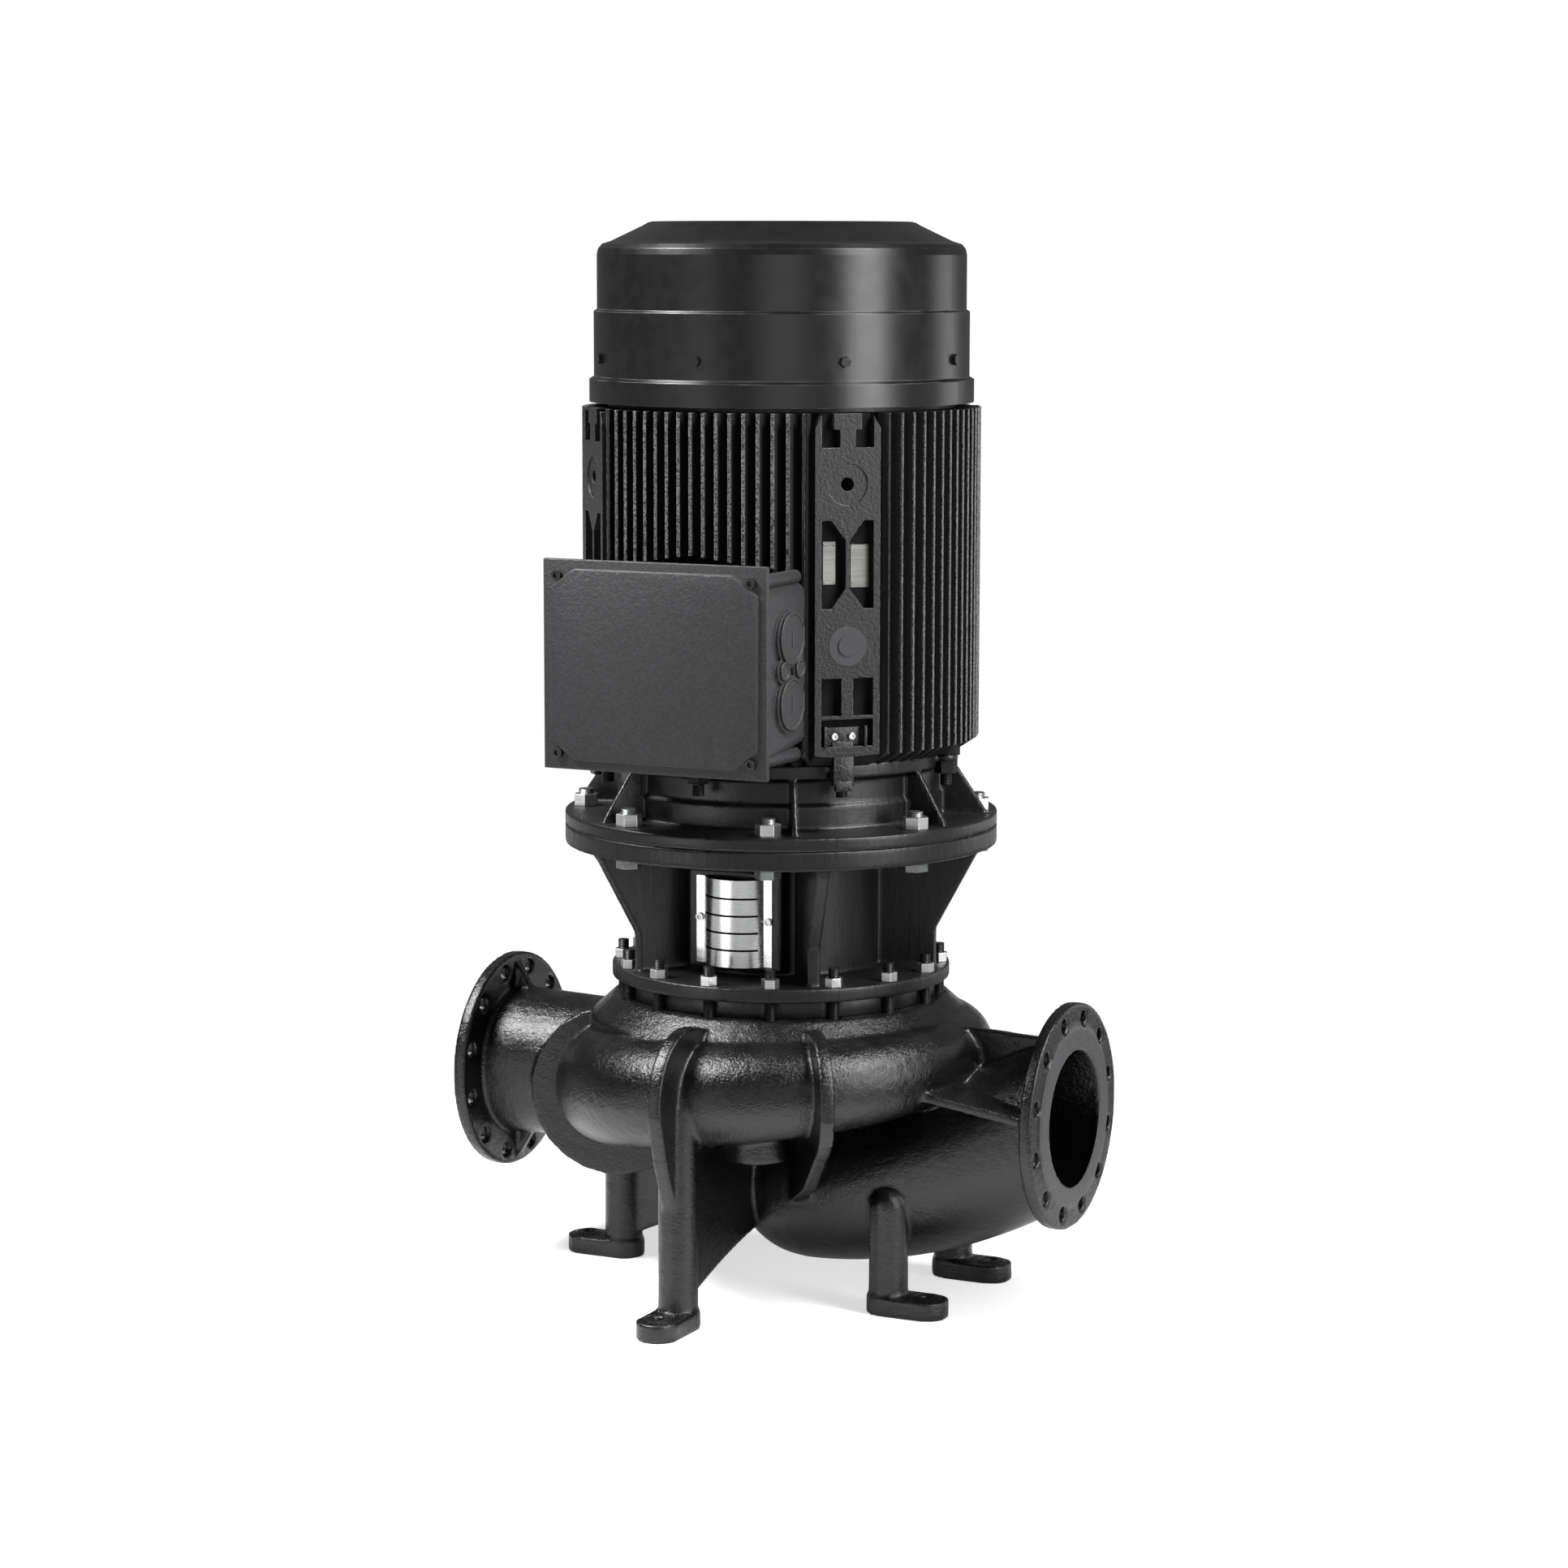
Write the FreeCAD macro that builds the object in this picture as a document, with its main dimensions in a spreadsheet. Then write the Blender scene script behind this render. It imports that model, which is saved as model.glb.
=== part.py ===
import FreeCAD, Part
import math
import os

import Sketcher

# Dry rotor circulator pump: a cast inline volute casing on cast feet, a motor stool with a guarded
# coupling, and a vertical flange motor. The shaft axis is Z, the ground is Z = 0, suction is +X,
# discharge is -X.
# An azimuth is counted from -Y, the terminal box side, towards +X.

V = FreeCAD.Vector
UP = V(0, 0, 1)
ORIGIN = V(0, 0, 0)

SIZES = {
    # Levels, from the ground up
    "port_level": 300, "casing_top": 452, "gasket_thick": 1, "cover_rim_thick": 25, "stool_height": 237,
    "shield_rise": 119, "frame_length": 513, "cowl_gap": 7, "cowl_height": 268,
    # Ports
    "port_span": 980, "port_bore": 100, "port_rim": 170, "port_rim_thick": 20, "port_face": 134,
    "port_face_rise": 3, "port_bolt_circle": 147.5, "suction_bolt_hole": 11.5,
    "discharge_bolt_hole": 11.25, "port_bolt_count": 12, "port_neck": 117, "port_lug_width": 18,
    "port_lug_reach": 30,
    # Volute
    "volute_start_angle": 236, "volute_sweep": 308, "volute_start": 36, "volute_throat": 100,
    "volute_centre": 242, "volute_swell": 47, "volute_first_level": 384, "volute_wall": 14,
    "volute_stations": 11, "discharge_knee": 222, "discharge_knee_bulge": 112,
    # Casing drum and the chamber inside it
    "drum_radius": 292, "drum_low": 350, "drum_shoulder": 418, "casing_rim": 254, "chamber_radius": 240,
    "chamber_low": 343, "chamber_high": 400, "cover_bore": 218, "eye_neck": 138, "eye_radius": 98,
    "ring_seat_low": 296, "ring_outer": 124, "ring_bore": 112.5, "ring_height": 22,
    # Suction bend
    "bend_low_level": 166, "bend_reach": 62, "bend_swell": 10, "suction_wall": 17, "bend_heel_level": 190,
    # Casing ribs, feet and drain boss
    "rib_thick": 22, "front_rib_radius": 103, "side_rib_radius": 134, "side_rib_azimuth": -72,
    "side_rib_sides": 24, "mid_rib_radius": 96, "mid_rib_azimuth": 36, "post_radius": 29,
    "front_foot": 342, "left_foot": 277, "right_foot_x": 240, "right_foot_y": 121, "pad_thick": 28,
    "pad_radius": 33, "pad_hole_offset": 63, "pad_hole": 8.5, "pad_boss": 19, "pad_boss_rise": 4,
    "web_thick": 16, "wing_thick": 16, "wing_root": 306, "wing_root_level": 349, "wing_tip_level": 324,
    "wing_tip_half": 152, "drain_boss_radius": 50, "drain_boss_circle": 245, "drain_boss_angle": 18,
    "drain_boss_low": 242, "drain_boss_height": 80, "drain_hole": 13, "drain_plug_length": 36,
    "drain_socket_flats": 14, "drain_socket_depth": 12, "front_rib_centre": 318, "front_rib_level": 345,
    "back_rib_centre": 300, "back_rib_level": 352, "mid_rib_centre": 306, "mid_rib_level": 348,
    "side_rib_centre": 258, "side_rib_level": 285, "front_foot_top": 330, "left_foot_top": 230,
    "right_foot_top": 162, "web_inset": 20, "web_inner": 60, "web_low": 36, "web_top": 250,
    "web_arch_crown": 82, "web_arch_end": 104, "wing_inner": 20, "wing_root_short": 30,
    # Cover, stool and their studs
    "cover_rim": 238, "cover_low": 408, "cover_spigot": 128, "spigot_rise": 5, "cover_hub": 74,
    "seal_chamber": 46, "stud_circle": 243, "stud_radius": 8, "stud_count": 16, "stud_depth": 22,
    "stud_rise": 14, "head_nut_flats": 24, "head_nut_height": 14, "stool_foot": 259,
    "stool_foot_thick": 21, "stool_tube": 155, "stool_tube_bore": 139, "stool_rim": 330,
    "stool_rim_thick": 29, "stool_rib_foot": 242, "stool_rib_head": 303, "stool_rib_knee": 58,
    "stool_rib_thick": 20, "window_half": 49, "window_low": 518, "window_high": 645, "window_face": 158,
    "window_pad_half": 78, "gasket_outer": 233.5, "window_corner": 8,
    # Impeller and pump shaft
    "impeller_radius": 200, "impeller_low": 298, "impeller_exit_low": 352, "impeller_exit_high": 388,
    "shroud_thick": 6, "back_shroud_thick": 8, "impeller_eye": 96, "impeller_neck": 112, "hub_radius": 38,
    "hub_top": 404, "hub_low": 330, "vane_count": 6, "vane_thick": 6, "pump_shaft_nose": 22.5,
    "pump_shaft_body": 25, "pump_shaft_top": 570, "thread_radius": 15, "nose_low": 302, "nut_flats": 46,
    "nut_height": 20, "washer_thick": 4, "washer_radius": 31, "impeller_key_width": 12,
    "impeller_key_length": 56, "vane_root": 74, "vane_wrap": 105, "impeller_key_depth": 5,
    "impeller_key_rise": 3.5, "impeller_key_low": 342,
    # Shaft seal
    "gland_radius": 68, "gland_thick": 15, "gland_bore": 27, "seat_radius": 38, "seat_height": 12,
    "seal_head_height": 26, "seal_head_radius": 37, "seal_sleeve": 28, "bellows_outer": 36,
    "bellows_inner": 30, "bellows_wall": 1.5, "bellows_folds": 4, "gland_screw": 4, "gland_circle": 57,
    "gland_screw_count": 4, "gland_screw_depth": 16, "seat_drop": 8, "seal_length": 56, "seal_collar": 6,
    "seal_gap": 0.05,
    # Coupling
    "coupling_radius": 70, "coupling_low": 511, "coupling_high": 700, "coupling_split": 1.5,
    "coupling_step": 573, "coupling_screw": 6, "coupling_screw_offset": 52, "coupling_flat": 46,
    "coupling_screw_pitch": 44, "lower_key_low": 518, "lower_key_length": 46, "lower_key_width": 14,
    "upper_key_low": 590, "upper_key_length": 100, "upper_key_width": 18, "key_depth": 6, "key_rise": 4,
    "coupling_thread": 40, "coupling_spot": 11, "coupling_chamfer": 3,
    # Guard
    "guard_thick": 1.5, "guard_half": 63, "guard_low": 516, "guard_high": 648, "guard_bulge": 28,
    "guard_edge": 14, "guard_slot_count": 4, "guard_slot": 3, "guard_screw": 3, "guard_screw_offset": 57,
    "guard_screw_level": 585, "guard_screw_depth": 12, "guard_first_slot": 542, "guard_slot_pitch": 26,
    "guard_slot_half": 44,
    # Motor flange and drive end shield
    "motor_rim": 330, "motor_rim_thick": 20, "motor_spigot": 275, "motor_spigot_rise": 6,
    "motor_bolt_circle": 300, "motor_bolt": 11, "motor_bolt_clearance": 1, "motor_bolt_count": 8,
    "motor_bolt_flats": 34, "shield_wall": 245, "shield_wall_step": 250, "shield_step_level": 770,
    "shield_shell": 12, "gusset_thick": 8, "gusset_foot": 318, "motor_nut_height": 18,
    "motor_bolt_rise": 8, "motor_bolt_head": 14, "spigot_inner": 150, "ear_reach": 293, "ear_width": 36,
    "ear_thick": 10, "ear_count": 8, "ear_circle": 275, "ear_bolt": 8.5, "ear_nut_room": 19,
    "ear_nut_flats": 30, "ear_nut_height": 19, "ear_stud_tail": 18, "ear_stud_length": 66,
    "shield_bore": 44,
    # Motor frame
    "frame_bore": 238, "frame_tube": 250, "frame_fin": 300, "frame_rim": 268, "frame_rim_height": 21,
    "fin_pitch": 20, "fin_thick": 5, "fin_side_count": 8, "fin_bevel_low": 827, "fin_bevel_high": 852,
    "strip_half": 50, "strip_face": 297, "strip_recess": 14, "strip_recess_half": 40, "spot_face": 30.5,
    "spot_level": 1245, "lift_thread": 10, "plug_level": 1011, "plug_radius": 29, "box_bay_half": 175,
    "box_bay_low": 832, "box_bay_high": 1116, "box_bay_ridge": 1141, "box_bay_depth": 268,
    "seat_boss_half": 118, "block_height": 26, "seat_boss_low": 880, "seat_boss_high": 1090,
    # Recesses and plates of the four strips
    "top_recess_low": 1298, "top_lug_low": 1324, "top_lug_half": 21, "top_web_half": 12,
    "plate_recess_low": 1065, "plate_recess_high": 1193, "web_foot_half": 25, "web_foot_rise": 29,
    "web_half": 3, "lower_recess_low": 909, "lower_recess_high": 964, "lower_web_half": 9,
    "clamp_recess_low": 864, "clamp_recess_high": 904, "corner_cut_width": 13, "corner_cut_height": 24,
    "plug_thick": 5, "plate_thick": 1.5, "small_plate_offset": 24, "small_plate_width": 19,
    "large_plate_offset": 23, "large_plate_width": 28, "plate_height": 62, "plate_level": 1100,
    "clamp_offset": 24, "clamp_level": 884, "clamp_thick": 5, "clamp_screw_flats": 16,
    # Motor inside
    "core_low": 930, "core_height": 330, "stator_bore": 150, "air_gap": 1, "winding_outer": 226,
    "winding_inner": 158, "winding_height": 58, "winding_edge": 14, "end_ring_outer": 140,
    "end_ring_inner": 104, "end_ring_height": 20, "core_shaft": 50, "bearing_seat": 40, "shaft_end": 32.5,
    "shaft_end_length": 140, "shoulder_radius": 46, "bearing_outer": 85, "bearing_width": 39,
    "race_wall": 11.5, "ball_count": 8, "drive_bearing_low": 745, "fan_bearing_low": 1352, "fan_seat": 35,
    "shaft_top": 1496,
    # Bearing housings and their caps
    "housing_wall": 18, "cap_lip": 6, "cap_thick": 7, "cap_screw": 4, "cap_circle": 94,
    "cap_screw_count": 4, "cap_screw_length": 18, "cap_screw_flats": 13, "cap_bore": 48,
    "fan_cap_bore": 37,
    # Fan and cowl
    "fan_shield_rim": 262, "fan_shield_thick": 14, "fan_radius": 225, "fan_hub": 55, "fan_low": 1432,
    "fan_height": 60, "fan_blade_count": 7, "fan_blade_thick": 4, "cowl_skirt": 290, "cowl_wall": 3,
    "cowl_first_step": 34, "cowl_second_step": 135, "cowl_shoulder": 239, "cowl_cone_foot": 257,
    "cowl_cone_top": 197, "cowl_screw": 4, "cowl_screw_level": 1420, "grille_ring_count": 5,
    "cowl_post_inner": 262, "cowl_second": 283, "cowl_third": 278, "cowl_screw_count": 8, "intake": 180,
    "shield_screw": 4, "shield_screw_circle": 244, "shield_screw_count": 8, "shield_screw_depth": 20,
    "shield_screw_room": 7.5,
    # Terminal box
    "box_half": 168, "box_low": 852, "box_high": 1106, "box_back": 268, "box_front": 402, "box_wall": 6,
    "lid_half": 180.5, "lid_low": 834, "lid_high": 1139, "lid_thick": 9, "lid_panel_thick": 6,
    "lid_panel_inset": 16, "lid_corner": 34, "lid_screw": 4, "large_plug": 36, "small_plug": 12,
    "plug_column": 320, "large_plug_low": 935, "large_plug_high": 1030, "small_plug_level": 985,
    "box_slope": 20, "box_corner": 14, "box_flange_inset": 6, "entry_rise": 5, "lid_gasket": 2,
    "lid_screw_inset": 24, "lid_screw_depth": 20, "wire_hole": 20,
    # Terminal board
    "board_half": 60, "board_height": 70, "board_thick": 16, "board_stud": 4, "board_level": 930,
}

document = FreeCAD.newDocument("circulator_pump")
sheet = document.addObject("Spreadsheet::Sheet", "Sizes")
for row, (alias, value) in enumerate(SIZES.items(), 1):
    sheet.set(f"A{row}", alias.replace("_", " "))
    sheet.set(f"B{row}", str(value))
    sheet.setAlias(f"B{row}", alias)
document.recompute()


def formula(value):
    """The spreadsheet formula of a size, or the plain number."""
    return getattr(value, "formula", repr(float(value)))


class Size(float):
    """A number that remembers the spreadsheet formula it comes from."""

    def __new__(cls, value, text):
        size = float.__new__(cls, value)
        size.formula = text
        return size

    def __add__(self, other):
        return Size(float(self) + float(other), f"({self.formula} + {formula(other)})")

    def __radd__(self, other):
        return Size(float(other) + float(self), f"({formula(other)} + {self.formula})")

    def __sub__(self, other):
        return Size(float(self) - float(other), f"({self.formula} - {formula(other)})")

    def __rsub__(self, other):
        return Size(float(other) - float(self), f"({formula(other)} - {self.formula})")

    def __mul__(self, other):
        return Size(float(self) * float(other), f"({self.formula} * {formula(other)})")

    __rmul__ = __mul__

    def __truediv__(self, other):
        return Size(float(self) / float(other), f"({self.formula} / {formula(other)})")

    def __neg__(self):
        return Size(-float(self), f"(-{self.formula})")


class SizeReader:
    """Reads the spreadsheet: s.port_bore is the size of that name."""

    def __getattr__(self, alias):
        return Size(sheet.get(alias), f"Sizes.{alias}")


s = SizeReader()
nodes = []

# Levels that follow from the sheet
cover_foot = s.casing_top + s.gasket_thick
stool_low = cover_foot + s.cover_rim_thick
stool_floor = stool_low + s.stool_foot_thick
motor_low = stool_low + s.stool_height
flange_top = motor_low + s.motor_rim_thick
frame_low = motor_low + s.shield_rise
frame_top = frame_low + s.frame_length
cowl_low = frame_top + s.cowl_gap
cowl_top = cowl_low + s.cowl_height
port_face_x = s.port_span / 2


def around(radius, azimuth, level=0.0):
    """The point at a radius and an azimuth in degrees."""
    angle = math.radians(azimuth)
    return V(radius * math.sin(angle), -radius * math.cos(angle), level)


def turn_to(shape, azimuth):
    """A copy of a shape drawn on the +X side, turned to an azimuth."""
    copy = shape.copy()
    copy.rotate(ORIGIN, UP, azimuth - 90)
    return copy


def box(x_from, x_to, y_from, y_to, z_from, z_to):
    return Part.makeBox(x_to - x_from, y_to - y_from, z_to - z_from, V(x_from, y_from, z_from))


def rod(radius, start, end):
    return Part.makeCylinder(radius, (end - start).Length, start, end - start)


def hexagon(flats, height, centre, direction=UP):
    """A hexagonal prism standing on a point."""
    corner = flats / math.sqrt(3)
    points = [V(corner * math.cos(k * math.pi / 3), corner * math.sin(k * math.pi / 3), 0) for k in range(7)]
    solid = Part.Face(Part.makePolygon(points)).extrude(V(0, 0, height))
    solid.Placement = FreeCAD.Placement(centre, FreeCAD.Rotation(UP, direction))
    return solid


def revolved(corners):
    """A solid of revolution about the shaft from (radius, level) corners."""
    points = [V(radius, 0, level) for radius, level in corners]
    return Part.Face(Part.makePolygon(points + points[:1])).revolve(ORIGIN, UP, 360)


def plate(corners, thickness, azimuth):
    """A plate that stands in the meridian plane of an azimuth, from (radius, level) corners."""
    points = [V(radius, -thickness / 2, level) for radius, level in corners]
    solid = Part.Face(Part.makePolygon(points + points[:1])).extrude(V(0, thickness, 0))
    return turn_to(solid, azimuth)


def ring(item, count, start=0.0):
    """Copies of an item, evenly spaced about the shaft."""
    copies = []
    for index in range(int(count)):
        copy = item.copy()
        copy.rotate(ORIGIN, UP, start + index * 360.0 / int(count))
        copies.append(copy)
    return copies


def fuse(shapes):
    return shapes[0].fuse(shapes[1:]).removeSplitter()


def solid_of(shape):
    """The one solid of a shape."""
    return max(shape.Solids, key=lambda piece: piece.Volume)


def feature(label, shape):
    """A piece whose shape is set directly."""
    item = document.addObject("Part::Feature", label)
    item.Shape = shape
    item.Label = label
    nodes.append(item)
    return item


def group(label, shapes):
    return feature(label, Part.makeCompound(shapes))


def bind(item, sizes):
    """Sets properties, by their formula where they come from the sheet."""
    for name, value in sizes.items():
        item.setExpression(name, formula(value))


def plane_of(body, role):
    return next(item for item in body.Origin.OriginFeatures if item.Role == role)


def hold(sketch, curve, point, across, up):
    """Places a sketch point by its two sizes."""
    for direction, axis, value in (("DistanceX", -2, across), ("DistanceY", -1, up)):
        if float(value) == 0:
            sketch.addConstraint(Sketcher.Constraint("PointOnObject", curve, point, axis))
        else:
            number = sketch.addConstraint(Sketcher.Constraint(direction, -1, 1, curve, point, float(value)))
            sketch.setExpression(f"Constraints[{number}]", formula(value))


def new_sketch(body, label, role):
    sketch = body.newObject("Sketcher::SketchObject", label)
    sketch.AttachmentSupport = [(plane_of(body, role), "")]
    sketch.MapMode = "FlatFace"
    return sketch


def outline(body, label, role, corners):
    """A closed outline whose corners are each held by their own sizes."""
    sketch = new_sketch(body, label, role)
    count = len(corners)
    points = [V(float(across), float(up), 0) for across, up in corners]
    for index in range(count):
        sketch.addGeometry(Part.LineSegment(points[index], points[(index + 1) % count]), False)
    for index in range(count):
        sketch.addConstraint(Sketcher.Constraint("Coincident", index, 2, (index + 1) % count, 1))
    for index, (across, up) in enumerate(corners):
        hold(sketch, index, 1, across, up)
    return sketch


def turned(label, corners, kept=True):
    """A body turned about the shaft from (radius, level) corners."""
    body = document.addObject("PartDesign::Body", label)
    sketch = outline(body, label + "_outline", "XZ_Plane", corners)
    turning = body.newObject("PartDesign::Revolution", label + "_turning")
    turning.Profile = sketch
    turning.ReferenceAxis = (sketch, ["V_Axis"])
    turning.Angle = 360
    if kept:
        body.Label = label
        nodes.append(body)
    return body


def drill(body, label, radius, circle, level, depth, count):
    """A ring of holes bored downwards from a level."""
    sketch = new_sketch(body, label + "_circle", "XY_Plane")
    sketch.setExpression("AttachmentOffset.Base.z", formula(level))
    sketch.addGeometry(Part.Circle(V(float(circle), 0, 0), UP, float(radius)), False)
    hold(sketch, 0, 3, circle, 0)
    number = sketch.addConstraint(Sketcher.Constraint("Radius", 0, float(radius)))
    sketch.setExpression(f"Constraints[{number}]", formula(radius))
    hole = body.newObject("PartDesign::Pocket", label + "_hole")
    hole.Profile = sketch
    bind(hole, {"Length": depth})
    pattern = body.newObject("PartDesign::PolarPattern", label)
    pattern.Originals = [hole]
    pattern.Axis = (plane_of(body, "Z_Axis"), [""])
    pattern.Angle = 360
    pattern.setExpression("Occurrences", formula(count))
    body.Tip = pattern
    return pattern


def rectangle(inner, outer, low, high):
    return [(inner, low), (outer, low), (outer, high), (inner, high)]


def bound_cylinder(label, radius, height, level):
    item = document.addObject("Part::Cylinder", label)
    bind(item, {"Radius": radius, "Height": height, "Placement.Base.z": level})
    return item


def bound_hexagon(label, flats, height, level):
    item = document.addObject("Part::Prism", label)
    item.Polygon = 6
    bind(item, {"Circumradius": flats / math.sqrt(3), "Height": height, "Placement.Base.z": level})
    return item


def joined(label, *pieces):
    item = document.addObject("Part::MultiFuse", label)
    item.Shapes = list(pieces)
    return item


def cut_out(label, base, tool):
    item = document.addObject("Part::Cut", label)
    item.Base = base
    item.Tool = tool
    return item


def copies_of(label, master, places):
    """One node of separate solids: copies of a master piece at several placements."""
    document.recompute()
    shapes = []
    for place in places:
        copy = master.Shape.copy()
        copy.Placement = place.multiply(copy.Placement)
        shapes.append(copy)
    return group(label, shapes)


def ring_places(radius, count, start=0.0):
    """Placements evenly spaced on a circle about the shaft, the first at an azimuth."""
    places = []
    for index in range(int(count)):
        azimuth = start + index * 360.0 / int(count)
        places.append(FreeCAD.Placement(around(radius, azimuth), FreeCAD.Rotation(UP, azimuth)))
    return places


# Volute: round sections that grow along the flow and sink from the impeller outlet to the level of the ports

def volute_station(share):
    """Azimuth, centre radius, centre level and outer section radius at a share of the sweep."""
    azimuth = s.volute_start_angle - s.volute_sweep * share
    section = s.volute_start + (s.volute_throat - s.volute_start) * (0.4 * share + 0.6 * share ** 2)
    centre = s.volute_centre + s.volute_swell * math.sin(math.pi * share ** 1.6)
    level = s.volute_first_level - (s.volute_first_level - s.port_level) * share ** 2.6
    return float(azimuth), float(centre), float(level), float(section)


def volute(inset):
    """The volute tube, with its sections smaller by an inset."""
    wires = []
    count = int(s.volute_stations)
    for index in range(count + 1):
        azimuth, centre, level, section = volute_station(1.03 * index / count)
        circle = Part.Wire(Part.makeCircle(section - inset, V(centre, 0, level), V(0, 1, 0)))
        wires.append(turn_to(circle, azimuth))
    return Part.makeLoft(wires, True, False, False, 3)


def mirrored(shape):
    """The same shape on the other side of the shaft."""
    copy = shape.copy()
    copy.rotate(ORIGIN, UP, 180)
    return copy


def port_flange():
    """Port flange with its raised face and its two cast webs, on the +X side."""
    rim_x = port_face_x - s.port_face_rise
    back_x = rim_x - s.port_rim_thick
    centre = V(0, 0, s.port_level)
    pieces = [
        rod(s.port_face, centre + V(rim_x - 1, 0, 0), centre + V(port_face_x, 0, 0)),
        rod(s.port_rim, centre + V(back_x, 0, 0), centre + V(rim_x, 0, 0)),
    ]
    for side in (1, -1):
        neck = s.port_level + side * (s.port_neck - 6)
        tip = s.port_level + side * (s.port_rim - 6)
        points = [V(back_x + 2, 0, neck), V(back_x + 2, 0, tip), V(back_x - s.port_lug_reach, 0, neck)]
        web = Part.Face(Part.makePolygon(points + points[:1])).extrude(V(0, s.port_lug_width, 0))
        web.translate(V(0, -s.port_lug_width / 2, 0))
        pieces.append(web)
    return fuse(pieces)


def port_holes(hole_radius):
    """The drills of the bolt holes in the port flange on the +X side."""
    back_x = port_face_x - s.port_face_rise - s.port_rim_thick
    centre = V(0, 0, s.port_level)
    step = 360.0 / int(s.port_bolt_count)
    holes = []
    for index in range(int(s.port_bolt_count)):
        angle = math.radians((index + 0.5) * step)
        place = centre + V(back_x - 1, s.port_bolt_circle * math.cos(angle),
                           s.port_bolt_circle * math.sin(angle))
        holes.append(rod(hole_radius, place, place + V(s.port_rim_thick + 3, 0, 0)))
    return holes


def suction_bend(wall, end_x):
    """The suction passage: it dips from the port to below the impeller and turns up into the eye."""
    wires = []
    for share in (1.0, 0.9, 0.72, 0.54, 0.36, 0.18, 0.0):
        x = s.bend_reach + (end_x - s.bend_reach) * share
        rise = (s.port_level - s.bend_low_level) * share ** 1.9
        slope = 0.65 * share ** 0.9 * (1 - share ** 6)
        radius = s.port_bore + s.bend_swell * math.sin(math.pi / 2 * min(1, 1.6 * (1 - share))) + wall
        wire = Part.Wire(Part.makeCircle(radius, ORIGIN, V(1, 0, slope)))
        wire.translate(V(x, 0, s.bend_low_level + rise))
        wires.append(wire)
    run = Part.makeLoft(wires, True, False)
    toe = Part.makeSphere(s.port_bore + s.bend_swell + wall - 1, V(s.bend_reach, 0, s.bend_low_level))
    heel = Part.makeSphere(s.eye_radius + wall, V(0, 0, s.bend_heel_level))
    riser = Part.makeCylinder(s.eye_radius + wall, s.ring_seat_low - s.bend_heel_level,
                              V(0, 0, s.bend_heel_level))
    return fuse([run, toe, heel, riser])


def foot(distance, shift, top):
    """A round-topped post on its long pad, on the +X side."""
    post = Part.makeCone(s.post_radius + 1, s.post_radius, top, V(distance, shift, 0), UP)
    dome = Part.makeSphere(s.post_radius, V(distance, shift, top))
    inner = Part.makeCylinder(s.pad_radius, s.pad_thick, V(distance, shift, 0))
    outer = Part.makeCylinder(s.pad_radius, s.pad_thick, V(distance + s.pad_hole_offset, shift, 0))
    bridge = box(distance, distance + s.pad_hole_offset, shift - s.pad_radius, shift + s.pad_radius, 0,
                 s.pad_thick)
    boss = Part.makeCylinder(s.pad_boss, s.pad_thick + s.pad_boss_rise,
                             V(distance + s.pad_hole_offset, shift, 0))
    hole = Part.makeCylinder(s.pad_hole, s.pad_thick + s.pad_boss_rise + 2,
                             V(distance + s.pad_hole_offset, shift, -1))
    return fuse([post, dome, inner, outer, bridge, boss]).cut(hole)


def leg_web(distance):
    """The web from a post to the suction bend, arched below, on the +X side."""
    start = V(distance, 0, s.web_low)
    end = V(s.web_inner, 0, s.web_arch_end)
    arch = Part.Arc(start, V(distance * 0.55, 0, s.web_arch_crown), end).toShape()
    rest = Part.makePolygon([end, V(s.web_inner, 0, s.web_top), V(distance, 0, s.web_top), start])
    web = Part.Face(Part.Wire([arch] + rest.Edges)).extrude(V(0, s.web_thick, 0))
    web.translate(V(0, -s.web_thick / 2, 0))
    return web


def rib_disc(azimuth, centre, level, radius):
    """A round rib that stands across the volute, in the meridian plane of an azimuth."""
    disc = Part.makeCylinder(radius, s.rib_thick, V(centre, -s.rib_thick / 2, level), V(0, 1, 0))
    return turn_to(disc, azimuth)


def side_rib_corners(centre, level):
    """The outline of the left rib, round enough with its many sides."""
    corners = []
    for index in range(int(s.side_rib_sides)):
        angle = math.radians((index + 0.5) * 360 / s.side_rib_sides)
        corners.append((centre + s.side_rib_radius * math.cos(angle),
                        level + s.side_rib_radius * math.sin(angle)))
    return corners


def wings():
    """The two webs that slope from the volute down to the suction flange, one on each side of the port."""
    plates = []
    tip = port_face_x - s.port_rim_thick
    for side, root_half in ((-1, s.wing_tip_half), (1, s.wing_tip_half - s.wing_root_short)):
        points = [V(s.wing_root, side * s.wing_inner, s.wing_root_level),
                  V(s.wing_root, side * root_half, s.wing_root_level),
                  V(tip, side * s.wing_tip_half, s.wing_tip_level),
                  V(tip, side * s.wing_inner, s.wing_tip_level)]
        plates.append(Part.Face(Part.makePolygon(points + points[:1])).extrude(V(0, 0, -s.wing_thick)))
    return plates


def in_turn(shapes):
    """Joins shapes one after the other."""
    whole = shapes[0]
    for shape in shapes[1:]:
        whole = whole.fuse(shape)
    return whole


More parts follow.
